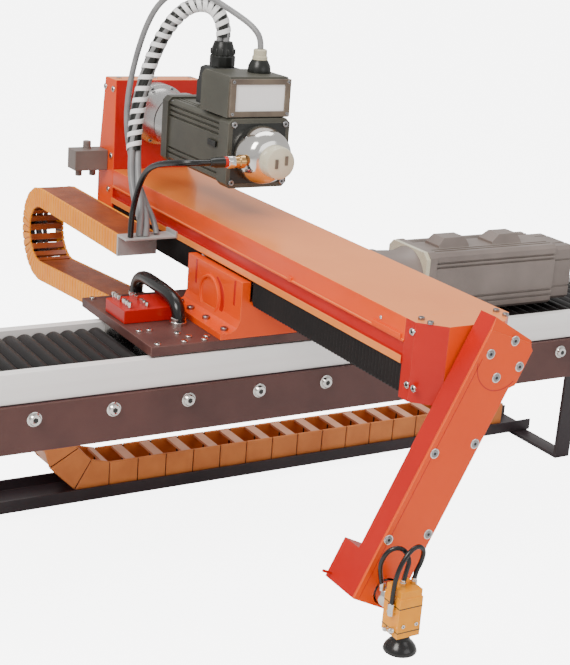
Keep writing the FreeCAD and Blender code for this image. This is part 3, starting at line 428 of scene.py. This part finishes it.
WRAPPED_CABLE = [(-69, 140, 450.6), (-69, 140, 474), (-80, 156, 496), (-104, 174, 494), (-127, 188, 466),
                 (-146, 196, 422), (-160, 197, 370), (-170, 191, 320), (-176, 174, 272), (-178, 150, 236),
                 (-178, 134, 214), (-178, 134, 193)]
ENCODER_CABLE = [(-153, 0, 317.5), (-171, 0, 317.5), (-187, 12, 316), (-195, 36, 311), (-197, 64, 303),
                 (-196, 92, 290), (-195, 112, 269), (-196, 123, 244), (-198, 128, 218), (-198, 128, 193)]
SIGNAL_CABLE = [(-47, 78, 448.6), (-47, 78, 462), (-54, 90, 476), (-64, 106, 486), (-78, 130, 498),
                (-92, 156, 510), (-110, 182, 514), (-130, 204, 498), (-144, 217, 468), (-157, 223, 420),
                (-167, 222, 370), (-172, 213, 322), (-168, 193, 270), (-160, 162, 226), (-157, 141, 208),
                (-157, 134, 193.8)]
CARRIAGE_CABLE = [(-179, 144, 103.1), (-179, 144, 119), (-181, 131, 134), (-184, 107, 142), (-187, 78, 144),
                  (-189, 48, 144.5), (-190, 22, 144), (-190, 1, 139.5), (-190, -11, 127), (-190, -11, 112.2)]
SWING = math.radians(26.6)
PIVOT = Vector((-53, 0, 207))
REACH = 270  # from the pivot to the wrist
WRIST = (PIVOT.x - REACH * math.sin(SWING), PIVOT.z - REACH * math.cos(SWING))
MOTOR_AXIS = (-69, 321.5)  # x and z of the swing motor
DRIVE_LEVEL = 144.5  # height of the arm drive's axis
PLATE_TOP = 112
WAY_SCREW_LEVEL = 41.5
LEFT_HOSE = [(-12, -492, 13), (-17, -493, 28), (-20, -496, 45), (-14, -501, 60), (-2, -507, 62), (4, -513, 50),
             (0, -513, 36), (-2, -513, 22.3)]
RIGHT_HOSE = [(-16.5, -517, 2), (-17, -518, 22), (-15, -519, 42), (-6, -519, 60), (7, -518, 68), (18, -516, 61),
              (19, -513, 46), (12, -513, 34), (11.5, -513, 22.3)]

cable("encoder_lead", "encoder_cable", "arm", ENCODER_CABLE, 8, RUBBER, "cable_black", length=0.232,
      far_end="object", stiffness="medium", lay="loose")
cable("signal_lead", "signal_cable", "arm", SIGNAL_CABLE, 8, CABLE, "cable_grey", length=0.518,
      far_end="object", stiffness="medium", lay="loose")
cable("carriage_lead", "carriage_cable", "carriage", CARRIAGE_CABLE, 18, RUBBER, "cable_black", length=0.198,
      far_end="object", stiffness="stiff", lay="loose")
for hose, node, route, reach in (("left_hose", "gripper_hose_left", LEFT_HOSE, 0.103),
                                 ("right_hose", "gripper_hose_right", RIGHT_HOSE, 0.126)):
    cable(hose, node, "gripper", [(WRIST[0] + a, y, WRIST[1] + b) for a, y, b in route], 5, RUBBER, "cable_black",
          length=reach, far_end="object", stiffness="medium", lay="loose")

# the wrapped bundle: three leads twisted together, under a spiral wrap on the upper part
route = path_points("bundle_route", WRAPPED_CABLE)
bundle_path = read_path(route)
bpy.data.objects.remove(route)
leads = Build().use(CABLE)
for k in range(3):
    tube(leads, bundle_path, 5.2, 4.7, (2 * math.pi * k / 3, 2.6 * math.pi))
leads = leads.done("wrapped_leads", "arm", "cable_grey", 0, ("wrapped_cable",))
upper = bundle_path[:int(len(bundle_path) * 0.70)]
sleeve = Build().use(BLACK)
tube(sleeve, upper[2:], 0, 9.2, (0, 0), 20)
FINE_STEPS = 6
fine_path = [upper[i].lerp(upper[i + 1], t / FINE_STEPS)
             for i in range(2, len(upper) - 1) for t in range(FINE_STEPS)]
sleeve.use(WHITE)
rings = []
count = len(fine_path)
TURNS_OF_WRAP = 23
for i, (spot, a, b) in enumerate(frames(fine_path)):
    angle = 2 * math.pi * TURNS_OF_WRAP * i / (count - 1)
    out = a * math.cos(angle) + b * math.sin(angle)
    along = a.cross(b)
    ring = [spot + out * r * MM + along * w * MM for r, w in ((9.0, -3.4), (10.1, -3.0), (10.1, 3.0), (9.0, 3.4))]
    rings.append([p / MM for p in ring])
sleeve.loft(rings)
sleeve = sleeve.done("spiral_wrap", "arm", "cable_grey", 0, (), smooth=60)


# ---------------------------------------------------------------- beam
dressed("beam_profile", "beam", GREY, 1.0)
dressed("guideways", "beam", STRIP, 1.0)
dressed("front_plate", "beam", BROWN, 0.8)
dressed("end_plates", "beam", GREY, 1.0)
dressed("chain_tray", "beam", GREY, 0.6)
for item, finish in (("x_guide_rails", STEEL), ("x_rack", STEEL), ("x_guide_blocks", ALU), ("x_pinion", STEEL),
                     ("y_pinion", STEEL), ("pinion_bearings", STEEL), ("y_guide_blocks", ALU), ("y_rails", STEEL),
                     ("y_rack", STEEL), ("shaft_bearings", BRASS), ("motor_pulley", STEEL), ("swing_shaft", STEEL),
                     ("drive_belt", BELT), ("wrist_belt", BELT)):
    paint(item, finish)

screws = Build()
for k in range(-5, 6):
    x = 100 * k - 11
    screws.use(CHROME).turned("Y", (x, WAY_SCREW_LEVEL), [(-90, 9.4), (-91, 9.2), (-91.3, 8.6)], 32)
    hexes(screws, "Y", (x, WAY_SCREW_LEVEL), -91, 4.6, 7.2, -1, CHROME, BLACK)
screws.done("plate_screw_heads", "beam", "screw_steel", 0, ("plate_screws",))


def roof_cover(name, node, low, high):
    """Soft folds over the guide rails; the valleys are sharp and the crowns round."""
    folds = round((high - low) / 19)
    steps = 10
    build = Build().use(ROOF)
    rings = []
    for i in range(folds * steps + 1):
        t = i / steps
        x = low + (high - low) * t / folds
        rise = 5.0 * abs(math.sin(math.pi * t)) ** 0.8
        top = 88 + rise
        outer = [(-69, 60), (-69.0, top - 4), (-67.5, top - 1.2), (-64, top), (-30, top + 0.25), (0, top + 0.4),
                 (30, top + 0.25), (64, top), (67.5, top - 1.2), (69.0, top - 4), (69, 60)]
        inner = [(a * 0.965, b - 2.2 if b > 61 else b) for a, b in reversed(outer)]
        rings.append([(x, a, b) for a, b in outer + inner])
    build.loft(rings)
    piece = build.done(name, None, "bellows_black", 0, (), smooth=50)
    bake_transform(piece)
    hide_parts(node)


roof_cover("roof_cover_left", "x_bellows_left", -588, -262)
roof_cover("roof_cover_right", "x_bellows_right", 20, 588)


# ---------------------------------------------------------------- energy chains
def chain_link(build, a, b, across, thick, place, colours, bars, ribs, gap):
    """One link between two joints. Each joint is (along, level, outward along, outward level)."""
    side, cross, dark = colours
    wall = 4.0
    half = thick / 2
    run = math.hypot(b[0] - a[0], b[1] - a[1])

    def spot(t, h):
        u, v = a[0] + (b[0] - a[0]) * t, a[1] + (b[1] - a[1]) * t
        n, m = a[2] + (b[2] - a[2]) * t, a[3] + (b[3] - a[3]) * t
        return u + n * h, v + m * h

    def quad(t0, t1, h0, h1):
        return [spot(t0, h0), spot(t1, h0), spot(t1, h1), spot(t0, h1)]

    def shell(y0, y1, t0, t1, h0, h1, c):
        rings = []
        for y, inset in ((y0, c), (y0 + c, 0), (y1 - c, 0), (y1, c)):
            rings.append([place(u, y, v)
                          for u, v in quad(t0 + inset / run, t1 - inset / run, h0 + inset, h1 - inset)])
        build.loft(rings)

    edge = gap / run / 2
    near, far = across
    build.use(side)
    for k in range(ribs):
        t0, t1 = k / ribs + edge, (k + 1) / ribs - edge
        shell(near, near + wall, t0, t1, -half, half, 1.3)
        shell(far - wall, far, t0, t1, -half, half, 1.3)
    # painted shade: a dark core inside each side wall that shows through the gaps between the plates
    build.use(dark)
    shell(near + 1.4, near + wall - 0.6, -edge, 1 + edge, -half + 1.6, half - 1.6, 0.1)
    shell(far - wall + 0.6, far - 1.4, -edge, 1 + edge, -half + 1.6, half - 1.6, 0.1)
    build.use(cross)
    for t0, t1, outer, inner in bars:
        for keep, h0, h1 in ((outer, half - 4.0, half - 0.4), (inner, -half + 0.4, -half + 4.0)):
            if keep:
                shell(near + wall - 0.5, far - wall + 0.5, t0, t1, h0, h1, 0.7)


def straight(low, high, level_low, level_high, pitch, way):
    """Joints along a straight run; way is +1 where the outside of the loop is up."""
    count = max(1, round(abs(high - low) / pitch))
    return [(low + (high - low) * i / count, level_low + (level_high - level_low) * i / count, 0, way)
            for i in range(count + 1)]


def half_turn(centre, level, radius, count, way):
    """Joints round a bend that bulges along way, from the lower run to the upper one."""
    out = []
    for i in range(count + 1):
        angle = math.pi * i / count
        n, m = way * math.sin(angle), -math.cos(angle)
        out.append((centre + n * radius, level + m * radius, n, m))
    return out


def chain(name, node, slot, joints, axis, across, thick, colours, bars, body=None, blend=None, ribs=1, gap=1.1,
          lines=()):
    """A run or bend of links; lines are the leads inside, as (place across, radius, material)."""
    place = (lambda u, y, v: (u, y, v)) if axis == "X" else (lambda u, y, v: (y, u, v))
    build = Build()
    for a, b in zip(joints, joints[1:]):
        chain_link(build, a, b, across, thick, place, colours, bars, ribs, gap)
    for at, radius, material in lines:
        rings = []
        for u, v, n, m in joints:
            rings.append([place(u + n * radius * math.sin(w), at + radius * math.cos(w),
                                v + m * radius * math.sin(w)) for w in [math.pi * k / 8 for k in range(16)]])
        build.use(material).loft(rings)
    piece = build.done(name, body, slot, 0, (), smooth=30)
    if blend:
        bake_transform(piece)
    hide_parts(node)


# the third colour of a look is the painted shade in the gaps between link plates
LONG_LOOK = (LONG, PALE, BLACK)
LONG_BARS = [(0.08, 0.42, True, True)]
wide = (190, 250)
chain("long_chain_lower", "x_chain_lower_run", "chain_brown", straight(540, -187, -184, -184, 45.4, -1), "X", wide,
      50, LONG_LOOK, LONG_BARS, blend=("beam", "x_chain_loop", (0.54, 0, 0), (-0.187, 0, 0)))
chain("long_chain_bend", "x_chain_bend", "chain_brown", half_turn(-187, -102, 82, 6, -1), "X", wide, 50, LONG_LOOK,
      LONG_BARS, body="x_chain_loop")
chain("long_chain_upper", "x_chain_upper_run", "chain_brown", straight(-187, -30, -20, -20, 40, 1), "X", wide, 50,
      LONG_LOOK, LONG_BARS, blend=("beam", "carriage", (-0.344, 0, 0), (-0.030, 0, 0)))
# the third colour here is painted shade in the gaps between link plates
SHORT_LOOK = (SIDE, LINK, LINK)
RIBS = [(0.0, 0.24, True, True), (0.333, 0.573, True, True), (0.667, 0.907, True, True)]
INSIDE = ((-198, 5.6, RUBBER), (-186, 5.0, CABLE), (-176, 3.5, CABLE))
narrow = (-208, -150)
chain("short_chain_lower", "y_chain_lower_run", "chain_orange", straight(138, 440, 87, 63, 19.5, -1), "Y", narrow,
      30, SHORT_LOOK, RIBS, ribs=2, lines=INSIDE, blend=("carriage", "y_chain_loop", (0, 0.138, 0), (0, 0.440, 0)))
chain("short_chain_bend", "y_chain_bend", "chain_orange", half_turn(440, 120, 57, 9, 1), "Y", narrow, 30,
      SHORT_LOOK, [(0.2, 0.8, True, True)], body="y_chain_loop", ribs=2, lines=INSIDE)
chain("short_chain_upper", "y_chain_upper_run", "chain_orange", straight(150, 440, 177, 177, 19.5, 1), "Y", narrow,
      30, SHORT_LOOK, RIBS, ribs=2, lines=INSIDE, blend=("carriage", "arm", (0, 0.730, 0), (0, 0.150, 0)))

# ---------------------------------------------------------------- carriage
dressed("carriage_plate", "carriage", PLATE, 0.8)
dressed("chain_tow_bracket", "carriage", GREY, 0.8)
dressed("saddle", "carriage", ORANGE, 1.6)
dressed("x_gearmotor", "carriage", OLIVE, 1.2)
dressed("cable_block", "carriage", RED_AND_PAINTED_SHADE, 1.2)
fittings = Build()
for x, y in ((-250, -76), (-214, -76), (-186, -76), (-250, -22), (-236, -22), (-208, -44), (-200, -60),
             (-178, -66), (-250, 126), (-150, 126), (-40, 126), (14, -76), (14, 86)):
    hexes(fittings, "Z", (x, y), PLATE_TOP, 2.4, 4.2, 1, CHROME, BLACK)
for x, y in ((-156, -70), (-156, -20), (-156, 24), (-156, 54)):
    hexes(fittings, "Z", (x, y), 120, 4.0, 5.0, 1, STEEL, BLACK)
fittings.done("carriage_bolts", "carriage", "screw_steel")

# cheek of the saddle: bearing ring and the crescent beside it, a red painted shadow of the ring's boss
cheek = Build().use(RED_AND_PAINTED_SHADE)
boss_shadow = []
for k in range(15):
    angle = math.radians(-68 + 136 * k / 14)
    boss_shadow.append((-7 - 33 * math.cos(angle), 146 + 31 * math.sin(angle)))
for k in range(15):
    angle = math.radians(68 - 136 * k / 14)
    boss_shadow.append((-7 - 24 * math.cos(angle), 146 + 29 * math.sin(angle)))
cheek.prism("X", boss_shadow, (-142.6, -141.2))
for y in (40, -66):
    cheek.prism("X", [(y - 2.2, 150), (y + 2.2, 150), (y + 2.2, 182), (y - 2.2, 182)], (-142.5, -141.2))
cheek.use(ORANGE).turned("X", (0, DRIVE_LEVEL), [(-142, 27.5), (-144.2, 27), (-144.8, 26), (-144.4, 23.5),
                                                 (-141.5, 23)], 56)
cheek.done("saddle_cheek", "carriage", "orange_paint", 0.3)


def servo_section(half, grooves, depth=3.0, corner=5.0):
    """Outline of a square motor body with lengthwise slots at the given offsets on every side."""
    points = []
    for quarter in range(4):
        angle = quarter * math.pi / 2
        side = [(half, -half + corner)]
        for at, width in grooves:
            side += [(half, at - width / 2), (half - depth, at - width / 2), (half - depth, at + width / 2),
                     (half, at + width / 2)]
        side.append((half, half - corner))
        points += [(a * math.cos(angle) - b * math.sin(angle), a * math.sin(angle) + b * math.cos(angle))
                   for a, b in side]
    return points


# arm drive: gearbox and servo lying along the beam
gears = Build().use(CHROME)
centre = (0, DRIVE_LEVEL)
gears.turned("X", centre, [(4, 28), (5, 30), (37, 30), (38, 36), (40, 41.5), (72, 42), (73, 41)], 64)
gears.use(BLACK)
for x in (44, 52, 60, 69):
    gears.turned("X", centre, [(x, 42.4), (x + 0.4, 42.9), (x + 2.6, 42.9), (x + 3, 42.4)], 64)
gears.use(BROWNGREY).turned("X", centre, [(73, 41), (74, 43.6), (112, 43.6), (113, 42), (150, 40), (166, 45)], 64)
gears.use(IVORY).prism("X", [(a, DRIVE_LEVEL + b) for a, b in servo_section(46, [], 0, 9)], (165.5, 172))
gears.use(BROWNGREY).prism("X", [(a, DRIVE_LEVEL + b) for a, b in servo_section(46, [], 0, 7)], (172, 184))
gears.done("arm_gearbox", "carriage", "aluminium", 0.7, ("y_gearbox",))

drive = Build().use(BROWNGREY)
slots = [(-30, 3.2), (-24, 3.2), (22, 3.6), (30, 3.6)]
drive.prism("X", [(a, DRIVE_LEVEL + b) for a, b in servo_section(44, slots)], (184, 398))
drive.prism("X", [(a, DRIVE_LEVEL + b) for a, b in servo_section(40, [(-20, 3), (20, 3)], 2)], (398, 434))
for x0, x1, lean in ((206, 258, 10), (300, 352, 14)):
    drive.use(BROWNGREY).tiers((x0, x1, -18, 18, 188), (x0, x1, -16, 16, 192), (x0 + lean, x1 - 6, -13, 13, 202))
for y, z in ((-38, 106.5), (38, 106.5), (-38, 182.5), (38, 182.5)):
    hexes(drive, "X", (y, z), 172, 5, 3.6, -1, STEEL, BLACK)
drive.done("arm_servo", "carriage", "motor_black", 0.6, ("y_motor",))

# fittings of the junction block under the arched lead
ports = Build()
for y in (18, 26, 34, 50, 58, 66):
    ports.use(CHROME).turned("Z", (-246, y), [(129.5, 2.6), (134, 2.6), (134.2, 3.6), (138, 3.6), (138.4, 2.2)],
                             20, 6)
    ports.turned("Z", (-222, y), [(129.5, 2.6), (133, 2.6), (133.2, 3.4), (136, 3.4), (136.4, 2.2)], 20, 6)
for point, radius in (((-190, -9), 11), ((-179, 144), 11)):
    z = 112 if point[1] < 100 else 102
    ports.use(CHROME).turned("Z", point, [(z - 0.2, radius), (z + 4, radius), (z + 5, radius - 0.8),
                                          (z + 9, radius - 0.8), (z + 10, radius - 1.8)], 36)
ports.done("junction_fittings", "carriage", "screw_steel", 0)

# ---------------------------------------------------------------- arm


def trough_cover(name, node, low, high):
    """Fine pleats on the three open sides under the arm."""
    folds = round((high - low) / 6.5)
    rings = []
    shape = ((0.0, 0.0), (0.22, 0.55), (0.5, 1.0), (0.78, 0.55))
    for i in range(folds * len(shape) + 1):
        t, height = shape[i % len(shape)]
        y = low + (high - low) * (i // len(shape) + t) / folds
        out = 2.6 * height
        left, right, floor, top = -126 - out, -12 + out, 153 - out, 186.4
        outer = [(left, top), (left, floor + 9), (left + 2.5, floor + 2.5), (left + 9, floor), (right - 9, floor),
                 (right - 2.5, floor + 2.5), (right, floor + 9), (right, top)]
        inner = [(right - 1.6, top), (right - 1.6, floor + 9.6), (right - 3.8, floor + 3.8),
                 (right - 9.6, floor + 1.6), (left + 9.6, floor + 1.6), (left + 3.8, floor + 3.8),
                 (left + 1.6, floor + 9.6), (left + 1.6, top)]
        rings.append([(a, y, b) for a, b in outer + inner])
    build = Build().use(CLOTH)
    build.loft(rings)
    piece = build.done(name, None, "bellows_black", 0, (), smooth=24)
    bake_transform(piece)
    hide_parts(node)


trough_cover("arm_cover_front", "y_bellows_front", -410, -84)
trough_cover("arm_cover_rear", "y_bellows_rear", 65, 346)


# top faces take the painted-highlight orange
def lit_top(face):
    return PAINTED_HIGHLIGHT_ORANGE if face.normal.z > 0.9 else None


dressed("arm_cover", "arm", ORANGE, 1.2, lit_top)
# the lower side faces take the painted-highlight orange; the rest is red
dressed("arm_housing", "arm", RED_AND_PAINTED_SHADE, 0.7,
        lambda f: PAINTED_HIGHLIGHT_ORANGE if f.calc_center_median().z < 0.197 and abs(f.normal.x) > 0.5 else None)
# painted highlight on the top faces, painted shade in red on the faces turned to -X
dressed("front_block", "arm", ORANGE, 1.2,
        lambda f: PAINTED_HIGHLIGHT_ORANGE if f.normal.z > 0.9 else RED_AND_PAINTED_SHADE if f.normal.x < -0.5 else None)
# painted highlight on the top faces, painted shade in red on the front faces behind the motor
dressed("rear_housing", "arm", ORANGE, 1.4,
        lambda f: PAINTED_HIGHLIGHT_ORANGE if f.normal.z > 0.9 else RED_AND_PAINTED_SHADE if f.normal.y < -0.9 else None)
dressed("pneumatic_valve", "arm", BROWNGREY, 1.2)
dressed("chain_arm_bracket", "arm", SHEET, 0.6)

trim = Build()
ARM_BOLTS = (  # axis, face, height, radius, way, material, places
    ("Z", 237, 3.0, 3.6, 1, STEEL, ((-118, -420), (-118, -436), (-20, -420), (-20, -436))),
    ("X", -130, 2.2, 4.0, -1, CHROME, ((-424, 226), (-424, 168), (-436, 168))),
    ("X", -130, 2.2, 4.6, -1, CHROME, ((354, 354), (382, 354), (354, 256), (392, 256), (360, 205))),
    ("X", 10, 2.2, 4.6, 1, CHROME, ((366, 352), (384, 288))),
    ("Z", 368, 2.2, 4.0, 1, CHROME, ((-118, 364), (-60, 364), (-2, 364))),
    ("Y", 402, 2.4, 4.6, 1, CHROME, ((-116, 236), (-24, 236), (-116, 180), (-30, 180))))
for axis, face, height, radius, way, finish, places in ARM_BOLTS:
    for spot in places:
        hexes(trim, axis, spot, face, height, radius, way, finish, BLACK)
trim.done("arm_bolts", "arm", "screw_steel")

latch = Build().use(ORANGE)
latch.box((-133.0, -129.5), (-406, -352), (212.5, 218.5))
latch.box((-132.4, -129.5), (-180, -172), (210.6, 216.5))
latch.use(CHROME).turned("X", (-366, 224), [(-129.8, 2.4), (-131.4, 2.2), (-131.8, 1.4)], 20)
latch.done("cover_tabs", "arm", "orange_paint", 0.7)

# rear motor of the swing drive
motor = Build()
fins = [(-34, 3), (-27, 3), (-20, 3), (24, 2.6), (31, 2.6)]
spun = [(-a, b) for a, b in servo_section(42, fins, 3.2, 4)]
flange = servo_section(45, [], 0, 6)
for finish, section, span in ((OLIVE, [(x, z) for z, x in spun], (54, 206)), (OLIVE, flange, (206, 223)),
                              (OLIVE, flange, (28, 54)), (BLACK, servo_section(39, [], 0, 3), (27.2, 30))):
    motor.use(finish).prism("Y", [(MOTOR_AXIS[0] + a, MOTOR_AXIS[1] + b) for a, b in section], span)
motor.box((-114.4, -112), (62, 84), (324, 332))
for a in (-37.5, 37.5):
    for b in (-37.5, 37.5):
        hexes(motor, "Y", (MOTOR_AXIS[0] + a, MOTOR_AXIS[1] + b), 28.6, 3.4, 4.2, -1, STEEL, BLACK)
        hexes(motor, "Y", (MOTOR_AXIS[0] + a, MOTOR_AXIS[1] + b), 206, 4.0, 4.0, -1, STEEL, BLACK)
motor.done("swing_servo", "arm", "motor_black", 0.6, ("swing_motor",))

adaptor = Build().use(ALU)
centre = MOTOR_AXIS
adaptor.turned("Y", centre, [(223, 42), (224, 43), (250, 43), (252, 41), (253, 38), (318, 38), (320, 41),
                             (322, 44), (344, 44.6), (346, 43.6)], 64)
adaptor.use(BLACK).turned("Y", centre, [(258, 38.3), (258.5, 39), (261.5, 39), (262, 38.3)], 64)
for k in range(8):
    angle = math.pi / 8 + math.pi * k / 4
    spot = (MOTOR_AXIS[0] + 40 * math.cos(angle), MOTOR_AXIS[1] + 40 * math.sin(angle))
    hexes(adaptor, "Y", spot, 322, 3.2, 3.2, -1, STEEL, BLACK)
adaptor.done("motor_adaptor_look", "arm", "aluminium", 0.3, ("motor_adaptor",))

terminal = Build().use(OLIVE)
terminal.tiers((-113, -23, 36, 112, 366.5), (-113, -23, 36, 112, 412), (-110, -26, 38, 110, 418.3))
terminal.use(BRONZE)
for x, z in (((-112, -24), (368, 375)), ((-112, -24), (409, 416)), ((-112, -104), (375, 409)),
             ((-32, -24), (375, 409))):
    terminal.box(x, (31.5, 36.5), z)
terminal.use(WHITE).box((-104.5, -31.5), (33.4, 36.4), (374.5, 409.5))
for x in (-108, -28):
    for z in (371.5, 412.5):
        hexes(terminal, "Y", (x, z), 31.5, 1.0, 2.2, -1, STEEL, BLACK)
terminal.done("terminal_cover", "arm", "motor_black", 0.6, ("terminal_box",))

plugs = Build().use(BLACK)
plugs.tiers((-93, -45, 116, 164, 366.5), (-93, -45, 116, 164, 396), (-92, -46, 117, 163, 398),
            (-90, -48, 118, 162, 414), (-86, -52, 122, 158, 417))
plugs.box((-95, -91), (130, 150), (384, 404))
plugs.turned("Z", (-69, 140), [(416.6, 14), (417, 17), (420, 17.5), (431, 17.5), (432.5, 16)], 48, 12)
plugs.turned("Z", (-69, 140), [(432, 14.5), (433, 15.5), (441, 15.2), (446, 13.4), (450.4, 12.2)], 48)
for k in range(12):
    angle = math.pi * k / 6
    x, y = -69 + 15.4 * math.cos(angle), 140 + 15.4 * math.sin(angle)
    plugs.turned("Z", (x, y), [(433.5, 1.2), (434, 1.6), (440, 1.6), (441, 1.0)], 10)
plugs.turned("Z", (-47, 78), [(418, 15), (420, 15.4), (427, 14.6), (433, 11.6), (434.6, 10.6)], 40)
plugs.use(IVORY).turned("Z", (-47, 78), [(434.2, 9.4), (434.8, 10.2), (439, 10.2), (439.6, 9.0), (447, 9.0),
                                         (448.4, 7.6)], 40)
plugs.use(BRASS).turned("X", (0, 317.5), [(-104.5, 8.0), (-105, 8.8), (-112, 8.8), (-113, 7.6), (-119, 7.6)], 40)
plugs.use(CHROME).turned("X", (0, 317.5), [(-118.8, 8.2), (-119.4, 8.6), (-128, 8.6), (-129, 8)], 40, 8)
plugs.use(RED_AND_PAINTED_SHADE).turned("X", (0, 317.5), [(-128.8, 7.0), (-133, 7.0)], 32)
plugs.use(BLACK).turned("X", (0, 317.5), [(-132.6, 6.4), (-133, 6.9), (-144, 6.7), (-152.6, 4.9), (-153, 4.4)], 32)
plugs.done("motor_plugs", "arm", "black_plastic", 0.5, ("motor_connectors",))

dish = Build().use(CHROME)
dish.turned("Y", centre, [(28.4, 33.5), (27, 36.2), (24, 37.6), (18, 37.4), (8, 36), (-2, 32.5), (-8, 28),
                          (-11, 22)], 80)
dish.use(IVORY).turned("Y", (-67, 319), [(-8, 20.6), (-11, 21.2), (-25, 21), (-28.6, 20), (-30, 17.6)], 64)
dish.use(BRONZE)
for x, z in ((-60, 326), (-74, 322)):
    dish.box((x - 2.2, x + 2.2), (-31.2, -29.2), (z - 9, z + 3))
dish.done("encoder_dish", "arm", "chrome_cap", 0.3, ("encoder_cap",))

# ---------------------------------------------------------------- swinging lower arm and gripper
ARM_TURN = Matrix.Translation(PIVOT * MM) @ Matrix.Rotation(SWING, 4, "Y")
facing = ARM_TURN.to_3x3()


# painted shade: the lower arm's -X side, turned down away from the light, and the faces behind its front take the
# red
def painted_shade_faces(face):
    local = facing.inverted() @ face.normal
    return RED_AND_PAINTED_SHADE if local.x < -0.9 or face.calc_center_median().y > -0.4555 else None


dressed("lower_arm_housing", "lower_arm", ORANGE, 1.0, painted_shade_faces)
dressed("lower_arm_cover", "lower_arm", ORANGE, 0.7)
heads = Build(ARM_TURN)
for x, z in ((0, 21.5), (22, 0), (0, -21), (-22, -2), (-28, -118), (16, -92), (-30, -218), (16, -198)):
    heads.use(CHROME).turned("Y", (x, z), [(-482.9, 5.6), (-483.5, 5.5), (-483.8, 4.9), (-483.8, 4.2),
                                             (-483.4, 3.9)], 32)
    hexes(heads, "Y", (x, z), -483.3, 0.9, 3.8, -1, STEEL, BLACK)
heads.done("cover_screw_heads", "lower_arm", "screw_steel", 0, ("cover_screws",))

cap = Build(ARM_TURN).use(ORANGE)  # closes the head between the slanted plate and the housing's rim
cap.loft([[(-35, -482.6, 19.5), (20, -482.6, 26.5), (20, -480.6, 26.5), (-35, -480.6, 19.5)],
          [(-35, -479.8, 33.6), (22.5, -479.8, 29.6), (22.5, -478.2, 29.6), (-35, -478.2, 33.6)]])
cap.done("head_cap", "lower_arm", "orange_paint", 0.4)

# painted shade: a thin red line laid along the cover's fold
fold_shade = Build(ARM_TURN).use(RED_AND_PAINTED_SHADE)
arc = [math.radians(200 + 140 * k / 20) for k in range(21)]
fold_shade.prism("Y", [(30 * math.cos(a) - 4, -6 + 30 * math.sin(a)) for a in arc]
             + [(29 * math.cos(a) - 4, -6 + 29 * math.sin(a)) for a in reversed(arc)], (-483.25, -482.8))
fold_shade.box((-29.4, -28.8), (-483.25, -482.8), (-284, -10))
fold_shade.done("cover_fold_shade", "lower_arm", "orange_paint", 0)

hub = Build(ARM_TURN)
hub.use(CHROME).turned("Y", (0, -270), [(-484, 12.6), (-484.6, 14), (-493, 14), (-495, 13), (-499, 11),
                                          (-499.2, 7)], 56)
hub.use(STEEL).turned("Y", (0, -270), [(-447, 8.4), (-448, 9), (-485, 9)], 40)
hub.turned("Y", (0, -270), [(-464, 11.4), (-465, 12), (-476, 12), (-477, 11.4)], 48)
for k in range(4):
    a = math.pi / 4 + math.pi * k / 2
    hexes(hub, "Y", (9.6 * math.cos(a), -270 + 9.6 * math.sin(a)), -494, 2.2, 1.9, -1, CHROME, BLACK)
hub.done("wrist_flange", "gripper", "aluminium", 0.3, ("wrist_hub",))

x, z = WRIST
head = Build().use(YELLOW)
head.box((x - 13, x + 15), (-527, -499), (z - 30, z + 14))
head.box((x - 12, x + 14), (-526, -500), (z + 13.5, z + 22))
head.use(BLACK)
for level in (z - 24, z + 3):
    head.box((x - 13.2, x + 15.2), (-527.2, -498.8), (level, level + 1.2))
head.use(CHROME).turned("Z", (x + 3, -513), [(z - 29.8, 7.6), (z - 30.6, 7.6), (z - 31, 6.2), (z - 32, 6.2)],
                        36)
for a, y, top in ((-2, -513, 22), (11.5, -513, 22)):
    head.turned("Z", (x + a, y), [(z + top - 0.4, 3.6), (z + top + 4, 3.6), (z + top + 4.4, 3.0),
                                      (z + top + 7, 3.0)], 24, 6)
head.turned("Z", (x - 12, -492), [(z + 9, 3.2), (z + 12.6, 3.2), (z + 13, 3.7), (z + 18, 3.7), (z + 18.4, 3)], 24)
head.turned("X", (-520, z - 22), [(x - 19, 2.2), (x - 17, 3.4), (x - 14, 3.4), (x - 12.6, 2.4)], 20)
head.turned("X", (-508, z - 27), [(x - 17, 1.8), (x - 15, 2.8), (x - 12.6, 2.8)], 20)
head.turned("Z", (x - 16.5, -517), [(z - 6, 3.4), (z + 1.4, 3.4), (z + 2, 3.7), (z + 7, 3.7), (z + 7.4, 3)], 24)
head.turned("X", (-517, z - 2), [(x - 19.5, 3.0), (x - 12.6, 3.0)], 24)
for a in (-7, 9):
    hexes(head, "Y", (x + a, z - 16), -527, 1.4, 2.2, -1, CHROME, BLACK)
head.done("gripper_body", "gripper", "yellow_paint", 0.6, ("gripper_block",))

cup = Build().use(RUBBER)
cup.turned("Z", (x + 3, -513), [(z - 31.6, 7), (z - 33, 8.4), (z - 37, 9), (z - 40, 10.2), (z - 43, 13.4),
                                (z - 47, 16.4), (z - 51, 17.8), (z - 52, 17.4), (z - 51.4, 16.2), (z - 48, 13),
                                (z - 45, 9), (z - 44, 3)], 64)
cup.done("vacuum_cup", "gripper", "cup_rubber", 0, ("suction_cup",), smooth=50)
